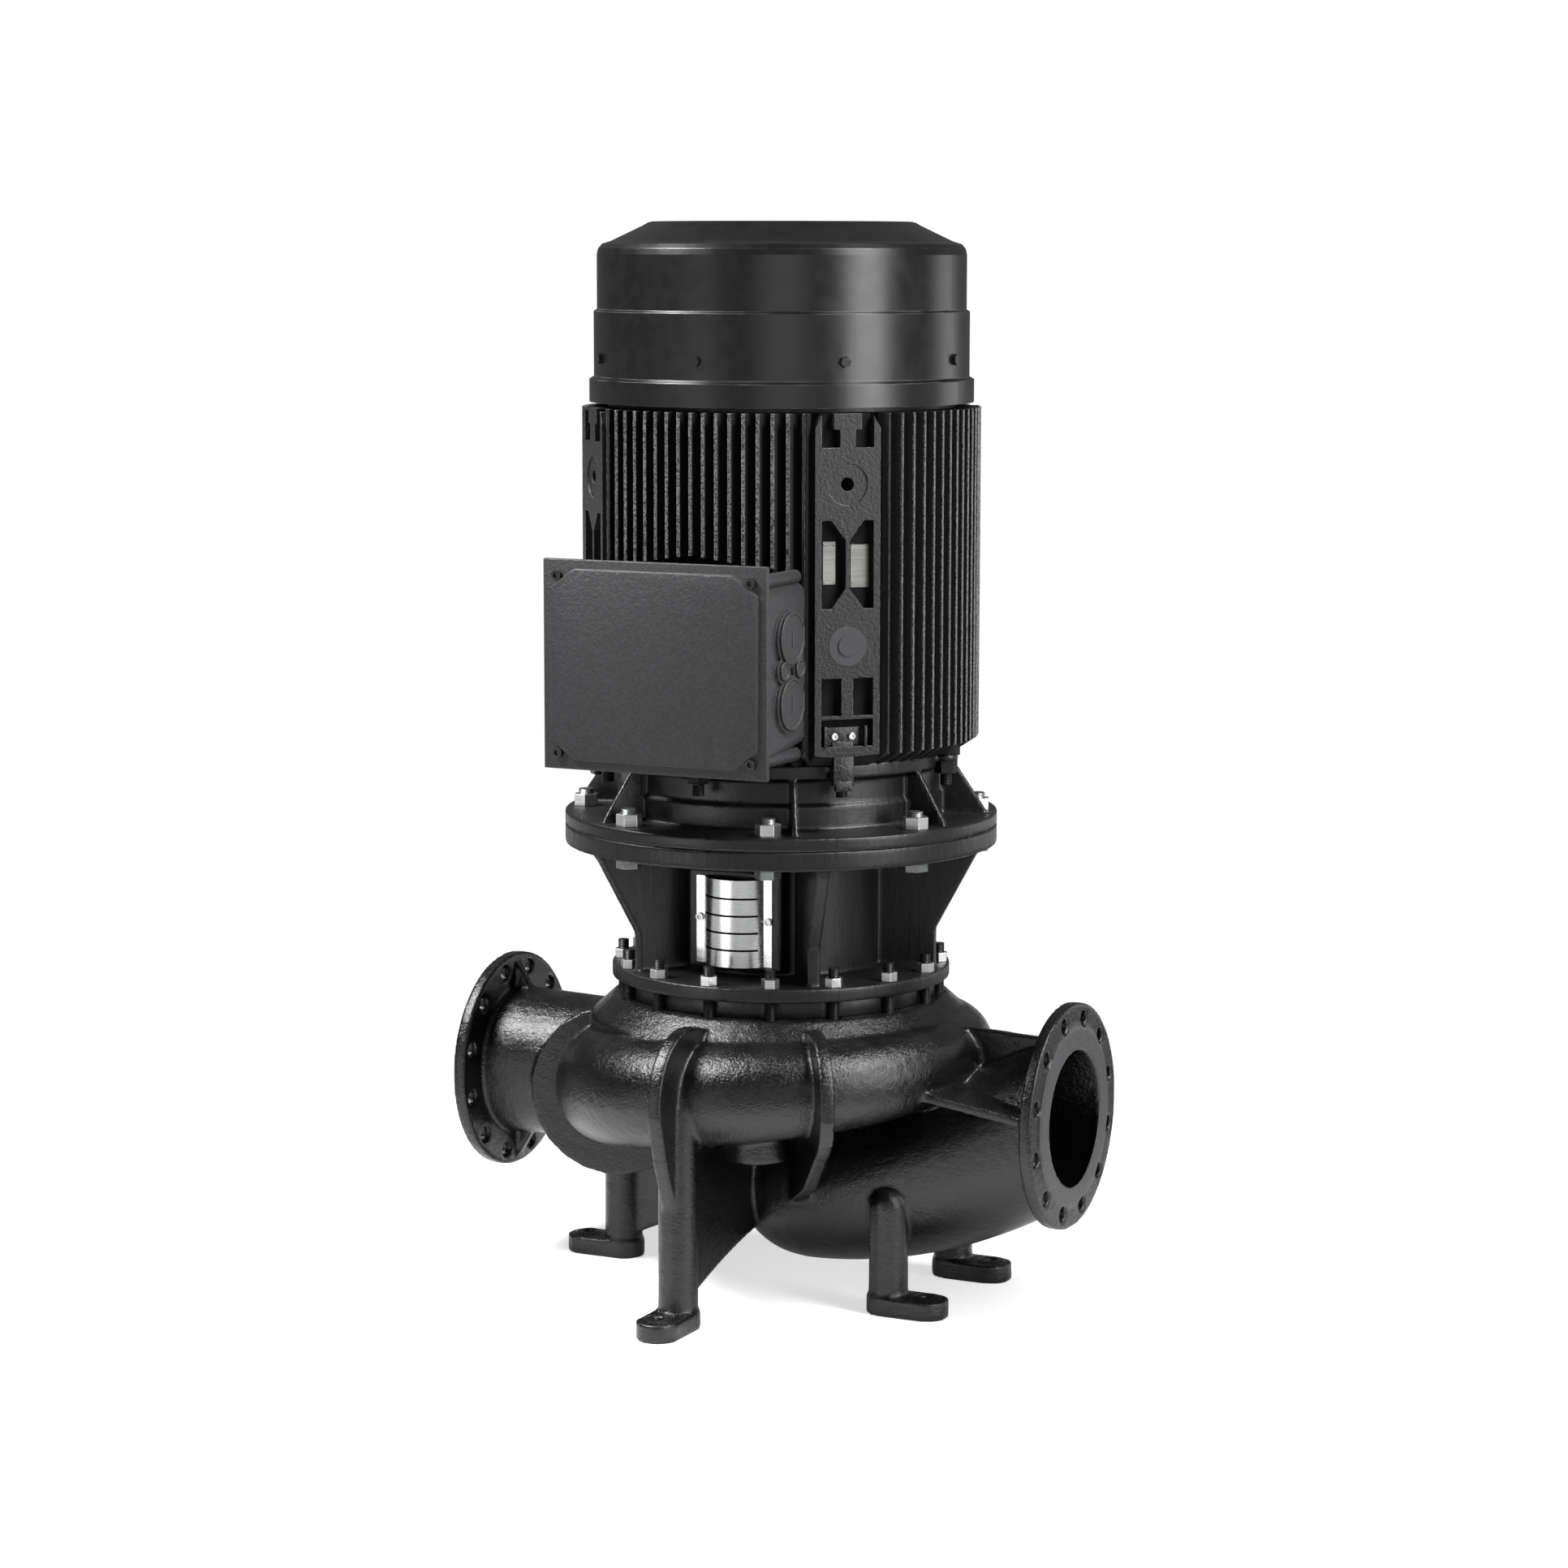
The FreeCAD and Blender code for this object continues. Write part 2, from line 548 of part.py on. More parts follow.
def casing_outside():
    """The outside of the casing: drum, volute, suction bend, ports, ribs and feet."""
    drum = revolved([
        (0, 240), (s.eye_neck - 20, 240), (s.eye_neck, 262), (s.eye_neck, 300), (150, 306), (250, 330),
        (s.drum_radius, s.drum_low), (s.drum_radius, s.drum_shoulder), (s.casing_rim + 6, s.casing_top - 5),
        (s.casing_rim, s.casing_top), (0, s.casing_top)])
    knee = Part.makeSphere(s.discharge_knee_bulge, V(-s.discharge_knee, 0, s.port_level))
    neck = Part.makeCone(s.port_neck, s.discharge_knee_bulge - 4, port_face_x - s.discharge_knee,
                         V(-port_face_x, 0, s.port_level), V(1, 0, 0))
    boss = Part.makeCylinder(s.drain_boss_radius, s.drain_boss_height,
                             around(s.drain_boss_circle, s.drain_boss_angle, s.drain_boss_low))
    ribs = [
        rib_disc(0, s.front_rib_centre, s.front_rib_level, s.front_rib_radius),
        rib_disc(180, s.back_rib_centre, s.back_rib_level, s.mid_rib_radius),
        rib_disc(s.mid_rib_azimuth, s.mid_rib_centre, s.mid_rib_level, s.mid_rib_radius),
        plate(side_rib_corners(s.side_rib_centre, s.side_rib_level), s.rib_thick, s.side_rib_azimuth),
        plate([(330, 345), (421, 333), (400, 256), (s.front_foot + s.post_radius - 1, 182), (330, 182)],
              s.rib_thick, 0),
        plate([(300, 345), (402, 330), (385, 290), (347, 262), (256, 195), (142, 150), (90, 160), (260, 300)],
              s.rib_thick, s.mid_rib_azimuth),
        plate([(280, 424), (305, 422), (port_face_x - 22, 414), (port_face_x - 22, 390), (341, 350),
               (280, 350)],
              s.web_thick, 90),
    ]
    feet = [
        turn_to(foot(s.front_foot, 0, s.front_foot_top), 0),
        turn_to(foot(s.front_foot, 0, s.front_foot_top), 180),
        turn_to(foot(s.left_foot, 0, s.left_foot_top), -90),
        foot(s.right_foot_x, s.right_foot_y, s.right_foot_top),
        foot(s.right_foot_x, -s.right_foot_y, s.right_foot_top),
    ]
    webs = [turn_to(leg_web(s.front_foot - s.web_inset), 0),
            turn_to(leg_web(s.front_foot - s.web_inset), 180),
            turn_to(leg_web(s.left_foot - s.web_inset), -90)]
    flanges = [port_flange(), mirrored(port_flange())]
    bend = suction_bend(s.suction_wall, port_face_x - s.port_rim_thick / 2)
    return in_turn([drum, volute(0), bend, neck, knee, boss] + ribs + feet + webs + wings() + flanges)


def casing_inside():
    """The water space: chamber, volute, both port passages and the seat of the wear ring."""
    chamber = revolved([
        (0, s.ring_seat_low), (s.ring_outer, s.ring_seat_low),
        (s.ring_outer, s.ring_seat_low + s.ring_height),
        (s.ring_outer + 6, s.ring_seat_low + s.ring_height + 4),
        (s.chamber_radius - 30, s.chamber_low), (s.chamber_radius, s.chamber_low),
        (s.chamber_radius, s.chamber_high), (s.cover_bore, s.chamber_high), (s.cover_bore, s.casing_top + 1),
        (0, s.casing_top + 1)])
    passage = rod(s.port_bore, V(-port_face_x - 1, 0, s.port_level), V(-s.discharge_knee, 0, s.port_level))
    knee = Part.makeSphere(s.port_bore, V(-s.discharge_knee, 0, s.port_level))
    eye = Part.makeCylinder(s.eye_radius, 40, V(0, 0, s.ring_seat_low - 20))
    return in_turn([chamber, volute(s.volute_wall), passage, knee, suction_bend(0, port_face_x + 1), eye])


def casing_shape():
    """Volute casing, one casting."""
    casing = casing_outside().cut(casing_inside())
    stud_hole = Part.makeCylinder(s.stud_radius, s.stud_depth + 2,
                                  V(s.stud_circle, 0, s.casing_top - s.stud_depth))
    drain = Part.makeCylinder(s.drain_hole, s.drain_boss_height + 2,
                              around(s.drain_boss_circle, s.drain_boss_angle, s.drain_boss_low - 1))
    drills = port_holes(s.suction_bolt_hole) + [mirrored(hole) for hole in port_holes(s.discharge_bolt_hole)]
    return solid_of(casing.cut(ring(stud_hole, s.stud_count)).cut(drain).cut(drills))


# Casing, wear ring, cover and shaft seal

feature("pump_casing", casing_shape())
turned("casing_wear_ring", rectangle(s.ring_bore, s.ring_outer, s.ring_seat_low,
                                     s.ring_seat_low + s.ring_height))

drain_screw = cut_out("drain_screw",
                      bound_cylinder("drain_thread", s.drain_hole, s.drain_plug_length, s.drain_boss_low),
                      bound_hexagon("drain_socket", s.drain_socket_flats, s.drain_socket_depth,
                                    s.drain_boss_low))
copies_of("drain_plug", drain_screw, ring_places(s.drain_boss_circle, 1, s.drain_boss_angle))

turned("cover_gasket", rectangle(s.cover_bore, s.gasket_outer, s.casing_top, cover_foot))

cover = turned("pump_cover", [
    (s.seal_chamber, s.cover_low), (s.cover_bore, s.cover_low), (s.cover_bore, cover_foot),
    (s.cover_rim, cover_foot), (s.cover_rim, stool_low), (s.cover_spigot, stool_low),
    (s.cover_spigot, stool_low + s.spigot_rise), (s.cover_hub, stool_low + s.spigot_rise),
    (s.cover_hub, stool_low),
    (s.seal_chamber, stool_low)])
drill(cover, "stud_notches", s.stud_radius + 1, s.stud_circle, stool_low, s.cover_rim_thick, s.stud_count)
drill(cover, "gland_threads", s.gland_screw, s.gland_circle, stool_low, s.gland_screw_depth,
      s.gland_screw_count)

gland_top = stool_low + s.gland_thick
seat_low = stool_low - s.seat_drop
gland = turned("seal_gland", [
    (s.gland_bore, seat_low + s.seat_height), (s.seat_radius, seat_low + s.seat_height),
    (s.seat_radius, seat_low),
    (s.seal_chamber, seat_low), (s.seal_chamber, stool_low), (s.gland_radius, stool_low),
    (s.gland_radius, gland_top), (s.gland_bore, gland_top)])
drill(gland, "gland_holes", s.gland_screw, s.gland_circle, gland_top, s.gland_thick, s.gland_screw_count)

turned("seal_seat", rectangle(s.gland_bore, s.seat_radius, seat_low, seat_low + s.seat_height))
seal_low = seat_low - s.seal_length
bellows_low = seal_low + s.seal_collar
bellows_high = seat_low - s.seal_head_height
turned("seal_head", [
    (s.pump_shaft_body, seal_low), (s.seal_head_radius, seal_low), (s.seal_head_radius, bellows_low),
    (s.seal_sleeve, bellows_low), (s.seal_sleeve, bellows_high), (s.seal_head_radius, bellows_high),
    (s.seal_head_radius, seat_low - s.seal_gap), (s.pump_shaft_body, seat_low - s.seal_gap)])


def bellows_corners():
    """The folded outline of the metal bellows that presses the seal head to its seat."""
    steps = 2 * int(s.bellows_folds)
    outer = []
    for index in range(steps + 1):
        radius = s.bellows_outer if index % 2 else s.bellows_inner
        outer.append((radius, bellows_low + (bellows_high - bellows_low) * index / steps))
    return outer + [(radius - s.bellows_wall, level) for radius, level in outer[::-1]]


turned("seal_spring", bellows_corners())


def screw(label, radius, length, head, head_height, hexagonal=True):
    """A screw that points down from the origin, with a hexagonal head or a round one with a hexagon socket."""
    shank = bound_cylinder(label + "_shank", radius, length + 1, -length)
    if hexagonal:
        return joined(label, shank, bound_hexagon(label + "_head", head, head_height, 0))
    round_head = bound_cylinder(label + "_head", head, head_height, 0)
    socket = bound_hexagon(label + "_socket", head, head_height, head_height / 2)
    return cut_out(label, joined(label + "_blank", shank, round_head), socket)


def at_level(places, level):
    """The same placements, lifted to a level."""
    lift = FreeCAD.Placement(V(0, 0, level), FreeCAD.Rotation())
    return [lift.multiply(place) for place in places]


def facing(direction, points):
    """Placements that turn +Z to a direction, at points."""
    return [FreeCAD.Placement(point, FreeCAD.Rotation(UP, direction)) for point in points]


gland_cap_screw = screw("gland_cap_screw", s.gland_screw, s.gland_thick + s.gland_screw_depth,
                        s.gland_screw * 1.6, s.gland_screw * 2, False)
copies_of("gland_screws", gland_cap_screw,
          at_level(ring_places(s.gland_circle, s.gland_screw_count, 90), gland_top))

# Impeller, pump shaft and coupling

impeller_high = s.impeller_exit_high + s.back_shroud_thick


def vane_blank():
    """One backward curved vane, thin at its outer end, taller than the passage."""
    spine = []
    for index in range(9):
        share = index / 8
        radius = s.vane_root + (s.impeller_radius - 1 - s.vane_root) * share
        azimuth = s.vane_wrap * math.log(radius / s.vane_root) / math.log(s.impeller_radius / s.vane_root)
        spine.append(around(radius, azimuth))
    left, right = [], []
    for index, point in enumerate(spine):
        along = spine[min(index + 1, 8)] - spine[max(index - 1, 0)]
        across = UP.cross(along).normalize()
        half = s.vane_thick * (0.5 - 0.02 * index)
        left.append(point + across * half)
        right.append(point - across * half)
    sides = []
    for points in (left, right[::-1]):
        curve = Part.BSplineCurve()
        curve.interpolate(points)
        sides.append(curve.toShape())
    ends = [Part.makeLine(left[-1], right[-1]), Part.makeLine(right[0], left[0])]
    vane = Part.Face(Part.Wire([sides[0], ends[0], sides[1], ends[1]])).extrude(V(0, 0, 100))
    vane.translate(V(0, 0, s.impeller_low))
    return vane


def key_slot():
    """The room of the impeller key, in the shaft and in the hub."""
    return box(s.pump_shaft_nose - s.impeller_key_depth, s.pump_shaft_nose + s.impeller_key_rise,
               -s.impeller_key_width / 2, s.impeller_key_width / 2, s.impeller_key_low,
               s.impeller_key_low + s.impeller_key_length)


def impeller_shape():
    """Closed impeller: two shrouds with curved vanes between them, neck and hub."""
    shroud_low = s.impeller_exit_low - s.shroud_thick
    front = revolved([
        (s.impeller_eye, s.impeller_low), (s.impeller_neck, s.impeller_low), (s.impeller_neck, 322),
        (120, 335),
        (145, 343), (s.impeller_radius, shroud_low), (s.impeller_radius, s.impeller_exit_low), (142, 349.5),
        (113, 341), (100, 329), (s.impeller_eye, 318)])
    back = revolved([
        (s.pump_shaft_nose, s.hub_low), (s.hub_radius - 4, s.hub_low), (s.hub_radius, 345), (46, 360),
        (60, 372),
        (84, 382), (110, 386), (s.impeller_radius, s.impeller_exit_high), (s.impeller_radius, impeller_high),
        (s.hub_radius, impeller_high), (s.hub_radius, s.hub_top), (s.pump_shaft_nose, s.hub_top)])
    passage = revolved([
        (62, 373), (60, 340), (98, 326.5), (112, 343), (142, 351),
        (s.impeller_radius, s.impeller_exit_low - 2),
        (s.impeller_radius, s.impeller_exit_high + 2), (110, 388), (84, 384)])
    vane = vane_blank().common(passage)
    wheel = in_turn([front, back.fuse(ring(vane, s.vane_count))])
    return solid_of(wheel.cut(key_slot()))


feature("impeller", impeller_shape())
feature("impeller_key", key_slot())
turned("impeller_washer", rectangle(s.thread_radius, s.washer_radius, s.hub_low - s.washer_thick, s.hub_low))
nut_low = s.hub_low - s.washer_thick - s.nut_height
impeller_nut = cut_out("impeller_nut", bound_hexagon("nut_hexagon", s.nut_flats, s.nut_height, nut_low),
                       bound_cylinder("nut_thread", s.thread_radius, s.nut_height, nut_low))
nodes.append(impeller_nut)


def bound_box(label, width, length, height, x, y, z):
    """A box, by its sizes and its lowest corner."""
    item = document.addObject("Part::Box", label)
    bind(item, {"Width": width, "Length": length, "Height": height, "Placement.Base.x": x,
                "Placement.Base.y": y,
                "Placement.Base.z": z})
    return item


def keyed(label, shaft, slots):
    """A shaft with its keyways cut."""
    slots_item = slots[0] if len(slots) == 1 else joined(label + "_keyways", *slots)
    item = cut_out(label, shaft, slots_item)
    nodes.append(item)
    return item


pump_shaft_blank = turned("pump_shaft_blank", [
    (0, s.nose_low), (s.thread_radius, s.nose_low), (s.thread_radius, s.hub_low),
    (s.pump_shaft_nose, s.hub_low),
    (s.pump_shaft_nose, s.hub_top), (s.pump_shaft_body, s.hub_top), (s.pump_shaft_body, s.pump_shaft_top),
    (0, s.pump_shaft_top)], kept=False)
keyed("pump_shaft", pump_shaft_blank, [
    bound_box("impeller_keyway", s.impeller_key_width, s.impeller_key_depth + s.impeller_key_rise,
              s.impeller_key_length, s.pump_shaft_nose - s.impeller_key_depth, -s.impeller_key_width / 2,
              s.impeller_key_low),
    bound_box("lower_keyway", s.key_depth + s.key_rise, s.lower_key_width, s.lower_key_length,
              -s.lower_key_width / 2, -s.pump_shaft_body - s.key_rise, s.lower_key_low)])

motor_shaft_end = motor_low - s.shaft_end_length
fan_bearing_high = s.fan_bearing_low + s.bearing_width
drive_bearing_high = s.drive_bearing_low + s.bearing_width
motor_shaft_blank = turned("motor_shaft_blank", [
    (0, motor_shaft_end), (s.shaft_end, motor_shaft_end), (s.shaft_end, motor_low),
    (s.bearing_seat, motor_low),
    (s.bearing_seat, drive_bearing_high), (s.shoulder_radius, drive_bearing_high),
    (s.shoulder_radius, drive_bearing_high + 16), (s.core_shaft, drive_bearing_high + 16),
    (s.core_shaft, s.fan_bearing_low - 12), (s.shoulder_radius, s.fan_bearing_low - 12),
    (s.shoulder_radius, s.fan_bearing_low), (s.bearing_seat, s.fan_bearing_low),
    (s.bearing_seat, fan_bearing_high),
    (s.fan_seat, fan_bearing_high), (s.fan_seat, s.shaft_top), (0, s.shaft_top)], kept=False)
keyed("motor_shaft", motor_shaft_blank, [
    bound_box("upper_keyway", s.key_depth + s.key_rise, s.upper_key_width, s.upper_key_length,
              -s.upper_key_width / 2, -s.shaft_end - s.key_rise, s.upper_key_low)])


def coupling_keys():
    """The keys of the pump shaft and of the motor shaft, both on the front side."""
    lower = box(-s.lower_key_width / 2, s.lower_key_width / 2, -s.pump_shaft_body - s.key_rise,
                -s.pump_shaft_body + s.key_depth, s.lower_key_low, s.lower_key_low + s.lower_key_length)
    upper = box(-s.upper_key_width / 2, s.upper_key_width / 2, -s.shaft_end - s.key_rise,
                -s.shaft_end + s.key_depth, s.upper_key_low, s.upper_key_low + s.upper_key_length)
    return [lower, upper]


def coupling_rows():
    """The levels of the clamp screws."""
    first = (s.coupling_low + s.coupling_high) / 2 - 1.5 * s.coupling_screw_pitch
    return [first + s.coupling_screw_pitch * row for row in range(4)]


def coupling_half(side):
    """One half of the clamp coupling; the front one (side -1) takes the screw heads."""
    edge = s.coupling_chamfer
    body = revolved([
        (s.pump_shaft_body, s.coupling_low), (s.coupling_radius - edge, s.coupling_low),
        (s.coupling_radius, s.coupling_low + edge), (s.coupling_radius, s.coupling_high - edge),
        (s.coupling_radius - edge, s.coupling_high), (s.shaft_end, s.coupling_high),
        (s.shaft_end, s.coupling_step),
        (s.pump_shaft_body, s.coupling_step)])
    reach = s.coupling_radius + 5
    near, far = sorted((side * s.coupling_split, side * reach))
    half = body.common(box(-reach, reach, near, far, s.coupling_low, s.coupling_high))
    cuts = coupling_keys() if side < 0 else []
    for level in coupling_rows():
        for x in (-s.coupling_screw_offset, s.coupling_screw_offset):
            cuts.append(rod(s.coupling_screw, V(x, -s.coupling_flat, level), V(x, s.coupling_thread, level)))
            if side < 0:
                cuts.append(rod(s.coupling_spot, V(x, -s.coupling_flat, level), V(x, -reach, level)))
    return half.cut(cuts)


feature("coupling_half_front", coupling_half(-1))
feature("coupling_half_back", coupling_half(1))
group("coupling_keys", coupling_keys())
clamp_screw = screw("clamp_screw", s.coupling_screw, s.coupling_flat + s.coupling_thread,
                    s.coupling_screw * 1.5,
                    s.coupling_screw * 2, False)
copies_of("coupling_screws", clamp_screw, facing(V(0, -1, 0), [
    V(x, -s.coupling_flat, level) for level in coupling_rows()
    for x in (-s.coupling_screw_offset, s.coupling_screw_offset)]))

# Motor stool with its guards, studs and bolts

RIB_AZIMUTHS = (38, 103, 142)


def stool_shape():
    """Motor stool: a tube between two flanges, six ribs and two windows in flat pads."""
    pieces = [revolved([
        (s.cover_spigot, stool_low), (s.stool_foot, stool_low), (s.stool_foot, stool_floor),
        (s.stool_tube, stool_floor), (s.stool_tube, motor_low - s.stool_rim_thick),
        (s.stool_rim, motor_low - s.stool_rim_thick), (s.stool_rim, motor_low), (s.motor_spigot, motor_low),
        (s.motor_spigot, motor_low - s.motor_spigot_rise),
        (s.stool_tube_bore, motor_low - s.motor_spigot_rise),
        (s.stool_tube_bore, stool_floor - 6), (s.cover_spigot, stool_floor - 6)])]
    rib_top = motor_low - s.stool_rim_thick
    for azimuth in RIB_AZIMUTHS:
        for side in (1, -1):
            pieces.append(plate([
                (s.stool_tube - 8, stool_floor - 4), (s.stool_rib_foot, stool_floor - 4),
                (s.stool_rib_foot, stool_floor + s.stool_rib_knee), (s.stool_rib_head, rib_top - 15),
                (s.stool_rib_head + 15, rib_top + 4), (s.stool_tube - 8, rib_top + 4)],
                s.stool_rib_thick, side * azimuth))
    for side in (-1, 1):
        near, far = sorted((side * (s.stool_tube_bore - 6), side * s.window_face))
        pieces.append(box(-s.window_pad_half, s.window_pad_half, near, far, s.window_low - 10,
                          s.window_high + 13))
    stool = fuse(pieces)
    stool = stool.cut(Part.makeCylinder(s.stool_tube_bore, s.stool_height - 40, V(0, 0, stool_floor - 6)))
    reach = s.window_face + 5
    window = box(-s.window_half, s.window_half, -reach, reach, s.window_low, s.window_high)
    window = window.makeFillet(s.window_corner, [edge for edge in window.Edges if edge.BoundBox.YLength > reach])
    screw_holes = []
    for x in (-s.guard_screw_offset, s.guard_screw_offset):
        for side in (-1, 1):
            start = V(x, side * s.window_face, s.guard_screw_level)
            screw_holes.append(rod(s.guard_screw, start, start - V(0, side * s.guard_screw_depth, 0)))
    stud_hole = Part.makeCylinder(s.stud_radius + 1, s.stool_foot_thick + 2,
                                  V(0, -s.stud_circle, stool_low - 1))
    bolt_hole = Part.makeCylinder(s.motor_bolt + s.motor_bolt_clearance, s.stool_rim_thick + 2,
                                  V(0, -s.motor_bolt_circle, motor_low - s.stool_rim_thick - 1))
    return stool.cut([window] + screw_holes + ring(stud_hole, s.stud_count)
                     + ring(bolt_hole, s.motor_bolt_count, 180.0 / s.motor_bolt_count))


feature("motor_stool", stool_shape())


def guard_shape(side):
    """Sheet guard over a window: two screwed flanges and a bulged middle with cooling slots."""
    inner_y, thick = s.window_face, s.guard_thick
    chord = s.guard_half - s.guard_edge
    faces = []
    for offset in (0, thick):
        left, right = V(-chord - offset * 0.4, inner_y + offset, 0), V(chord + offset * 0.4, inner_y + offset,
                                                                       0)
        crown = V(0, inner_y + s.guard_bulge + offset, 0)
        faces.append((left, crown, right))
    (inner_left, inner_crown, inner_right), (outer_left, outer_crown, outer_right) = faces
    ends = [V(s.guard_half, inner_y, 0), V(s.guard_half, inner_y + thick, 0),
            V(-s.guard_half, inner_y + thick, 0), V(-s.guard_half, inner_y, 0)]
    wire = Part.Wire([
        Part.Arc(inner_left, inner_crown, inner_right).toShape(), Part.makeLine(inner_right, ends[0]),
        Part.makeLine(ends[0], ends[1]), Part.makeLine(ends[1], outer_right),
        Part.Arc(outer_right, outer_crown, outer_left).toShape(), Part.makeLine(outer_left, ends[2]),
        Part.makeLine(ends[2], ends[3]), Part.makeLine(ends[3], inner_left)])
    sheet_metal = Part.Face(wire).extrude(V(0, 0, s.guard_high - s.guard_low))
    sheet_metal.translate(V(0, 0, s.guard_low))
    cuts = []
    for index in range(int(s.guard_slot_count)):
        level = s.guard_first_slot + index * s.guard_slot_pitch
        cuts.append(box(-s.guard_slot_half, s.guard_slot_half, inner_y + 2, inner_y + s.guard_bulge + 5,
                        level - s.guard_slot / 2, level + s.guard_slot / 2))
    for x in (-s.guard_screw_offset, s.guard_screw_offset):
        cuts.append(rod(s.guard_screw, V(x, inner_y - 1, s.guard_screw_level),
                        V(x, inner_y + 5, s.guard_screw_level)))
    guard = sheet_metal.cut(cuts)
    return guard if side > 0 else mirrored(guard)


feature("front_coupling_guard", guard_shape(-1))
feature("back_coupling_guard", guard_shape(1))
pan_screw = screw("pan_screw", s.guard_screw, s.guard_screw_depth + s.guard_thick,
                  s.guard_screw * 2, s.guard_screw * 1.3, False)
guard_screw_places = []
for side in (-1, 1):
    guard_screw_places += facing(V(0, side, 0), [
        V(x, side * (s.window_face + s.guard_thick), s.guard_screw_level)
        for x in (-s.guard_screw_offset, s.guard_screw_offset)])
copies_of("guard_screws", pan_screw, guard_screw_places)

stud = bound_cylinder("head_stud", s.stud_radius,
                      stool_floor + s.head_nut_height + s.stud_rise - (s.casing_top - s.stud_depth),
                      s.casing_top - s.stud_depth)
copies_of("head_studs", stud, ring_places(s.stud_circle, s.stud_count))
head_nut = cut_out("head_nut", bound_hexagon("head_nut_hexagon", s.head_nut_flats, s.head_nut_height,
                                             stool_floor),
                   bound_cylinder("head_nut_thread", s.stud_radius, s.head_nut_height, stool_floor))
copies_of("head_nuts", head_nut, ring_places(s.stud_circle, s.stud_count))

grip = s.stool_rim_thick + s.motor_rim_thick
flange_bolt = joined(
    "flange_bolt",
    bound_cylinder("flange_bolt_shank", s.motor_bolt, grip + s.motor_nut_height + s.motor_bolt_rise + 1,
                   motor_low - s.stool_rim_thick - 1),
    bound_hexagon("flange_bolt_head", s.motor_bolt_flats, s.motor_bolt_head,
                  motor_low - s.stool_rim_thick - s.motor_bolt_head))
half_step = 180.0 / s.motor_bolt_count
bolt_places = ring_places(s.motor_bolt_circle, s.motor_bolt_count, half_step)
copies_of("flange_bolts", flange_bolt, bolt_places)
flange_nut = cut_out("flange_nut", bound_hexagon("flange_nut_hexagon", s.motor_bolt_flats, s.motor_nut_height,
                                                 flange_top),
                     bound_cylinder("flange_nut_thread", s.motor_bolt, s.motor_nut_height, flange_top))
copies_of("flange_nuts", flange_nut, bolt_places)

# Drive end shield

def lug_ring(inner, outer, width, low, high, count):
    """Blocks about the shaft, rounded at their outer end."""
    block = box(inner, outer - width / 2, -width / 2, width / 2, low, high)
    end = Part.makeCylinder(width / 2, high - low, V(outer - width / 2, 0, low))
    return ring(block.fuse(end), count)


def drive_shield_shape():
    """Motor flange, bell with gussets, bearing housing and the ears that carry the frame."""
    housing = s.bearing_outer + s.housing_wall
    housing_top = drive_bearing_high + s.cap_lip
    wall_inner = s.shield_wall - s.shield_shell
    bell = revolved([
        (s.shield_bore, motor_low + 6), (s.spigot_inner, motor_low + 6),
        (s.spigot_inner, motor_low - s.motor_spigot_rise),
        (s.motor_spigot, motor_low - s.motor_spigot_rise), (s.motor_spigot, motor_low),
        (s.motor_rim, motor_low),
        (s.motor_rim, flange_top), (s.shield_wall_step, flange_top),
        (s.shield_wall_step, s.shield_step_level),
        (s.shield_wall, s.shield_step_level + 3), (s.shield_wall, frame_low - s.frame_rim_height - 5),
        (s.frame_rim, frame_low - s.frame_rim_height), (s.frame_rim, frame_low), (s.frame_bore, frame_low),
        (s.frame_bore, frame_low + 6), (wall_inner - 3, frame_low + 6), (wall_inner, s.drive_bearing_low + 6),
        (wall_inner - 8, s.drive_bearing_low), (housing, s.drive_bearing_low), (housing, housing_top),
        (s.bearing_outer, housing_top), (s.bearing_outer, s.drive_bearing_low),
        (s.shield_bore, s.drive_bearing_low)])
    gussets = []
    for azimuth in (30, 76, 104, 150):
        for side in (1, -1):
            gussets.append(plate([
                (s.shield_wall - 6, flange_top - 3), (s.gusset_foot, flange_top - 3),
                (s.gusset_foot, flange_top + 5),
                (s.frame_rim - 4, frame_low - 14), (s.shield_wall - 6, frame_low - 14)],
                s.gusset_thick, side * azimuth))
    ears = lug_ring(s.shield_wall, s.ear_reach, s.ear_width, frame_low - s.ear_thick, frame_low, s.ear_count)
    shield = in_turn([bell, fuse(gussets), fuse(ears)])
    bolt_hole = Part.makeCylinder(s.motor_bolt + s.motor_bolt_clearance, s.motor_rim_thick + 2,
                                  V(0, -s.motor_bolt_circle, motor_low - 1))
    ear_hole = Part.makeCylinder(s.ear_bolt, s.ear_thick + 2,
                                 V(0, -s.ear_circle, frame_low - s.ear_thick - 1))
    cap_hole = Part.makeCylinder(s.cap_screw, s.cap_screw_length,
                                 V(0, -s.cap_circle, housing_top - s.cap_screw_length))
    nut_room = Part.makeCylinder(s.ear_nut_room, s.frame_rim_height + 12,
                                 V(0, -s.ear_circle, frame_low - s.ear_thick - s.frame_rim_height - 12))
    return solid_of(shield.cut(ring(bolt_hole, s.motor_bolt_count, half_step) + ring(ear_hole, s.ear_count)
                               + ring(cap_hole, s.cap_screw_count) + ring(nut_room, s.ear_count)))


feature("drive_end_shield", drive_shield_shape())

ear_low = frame_low - s.ear_thick
ear_stud = joined(
    "ear_stud", bound_cylinder("ear_stud_shank", s.ear_bolt, s.ear_stud_length,
                               ear_low - s.ear_nut_height - s.ear_stud_tail),
    bound_hexagon("ear_stud_nut", s.ear_nut_flats, s.ear_nut_height, ear_low - s.ear_nut_height))
copies_of("endshield_bolts", ear_stud, ring_places(s.ear_circle, s.ear_count))

# Motor frame

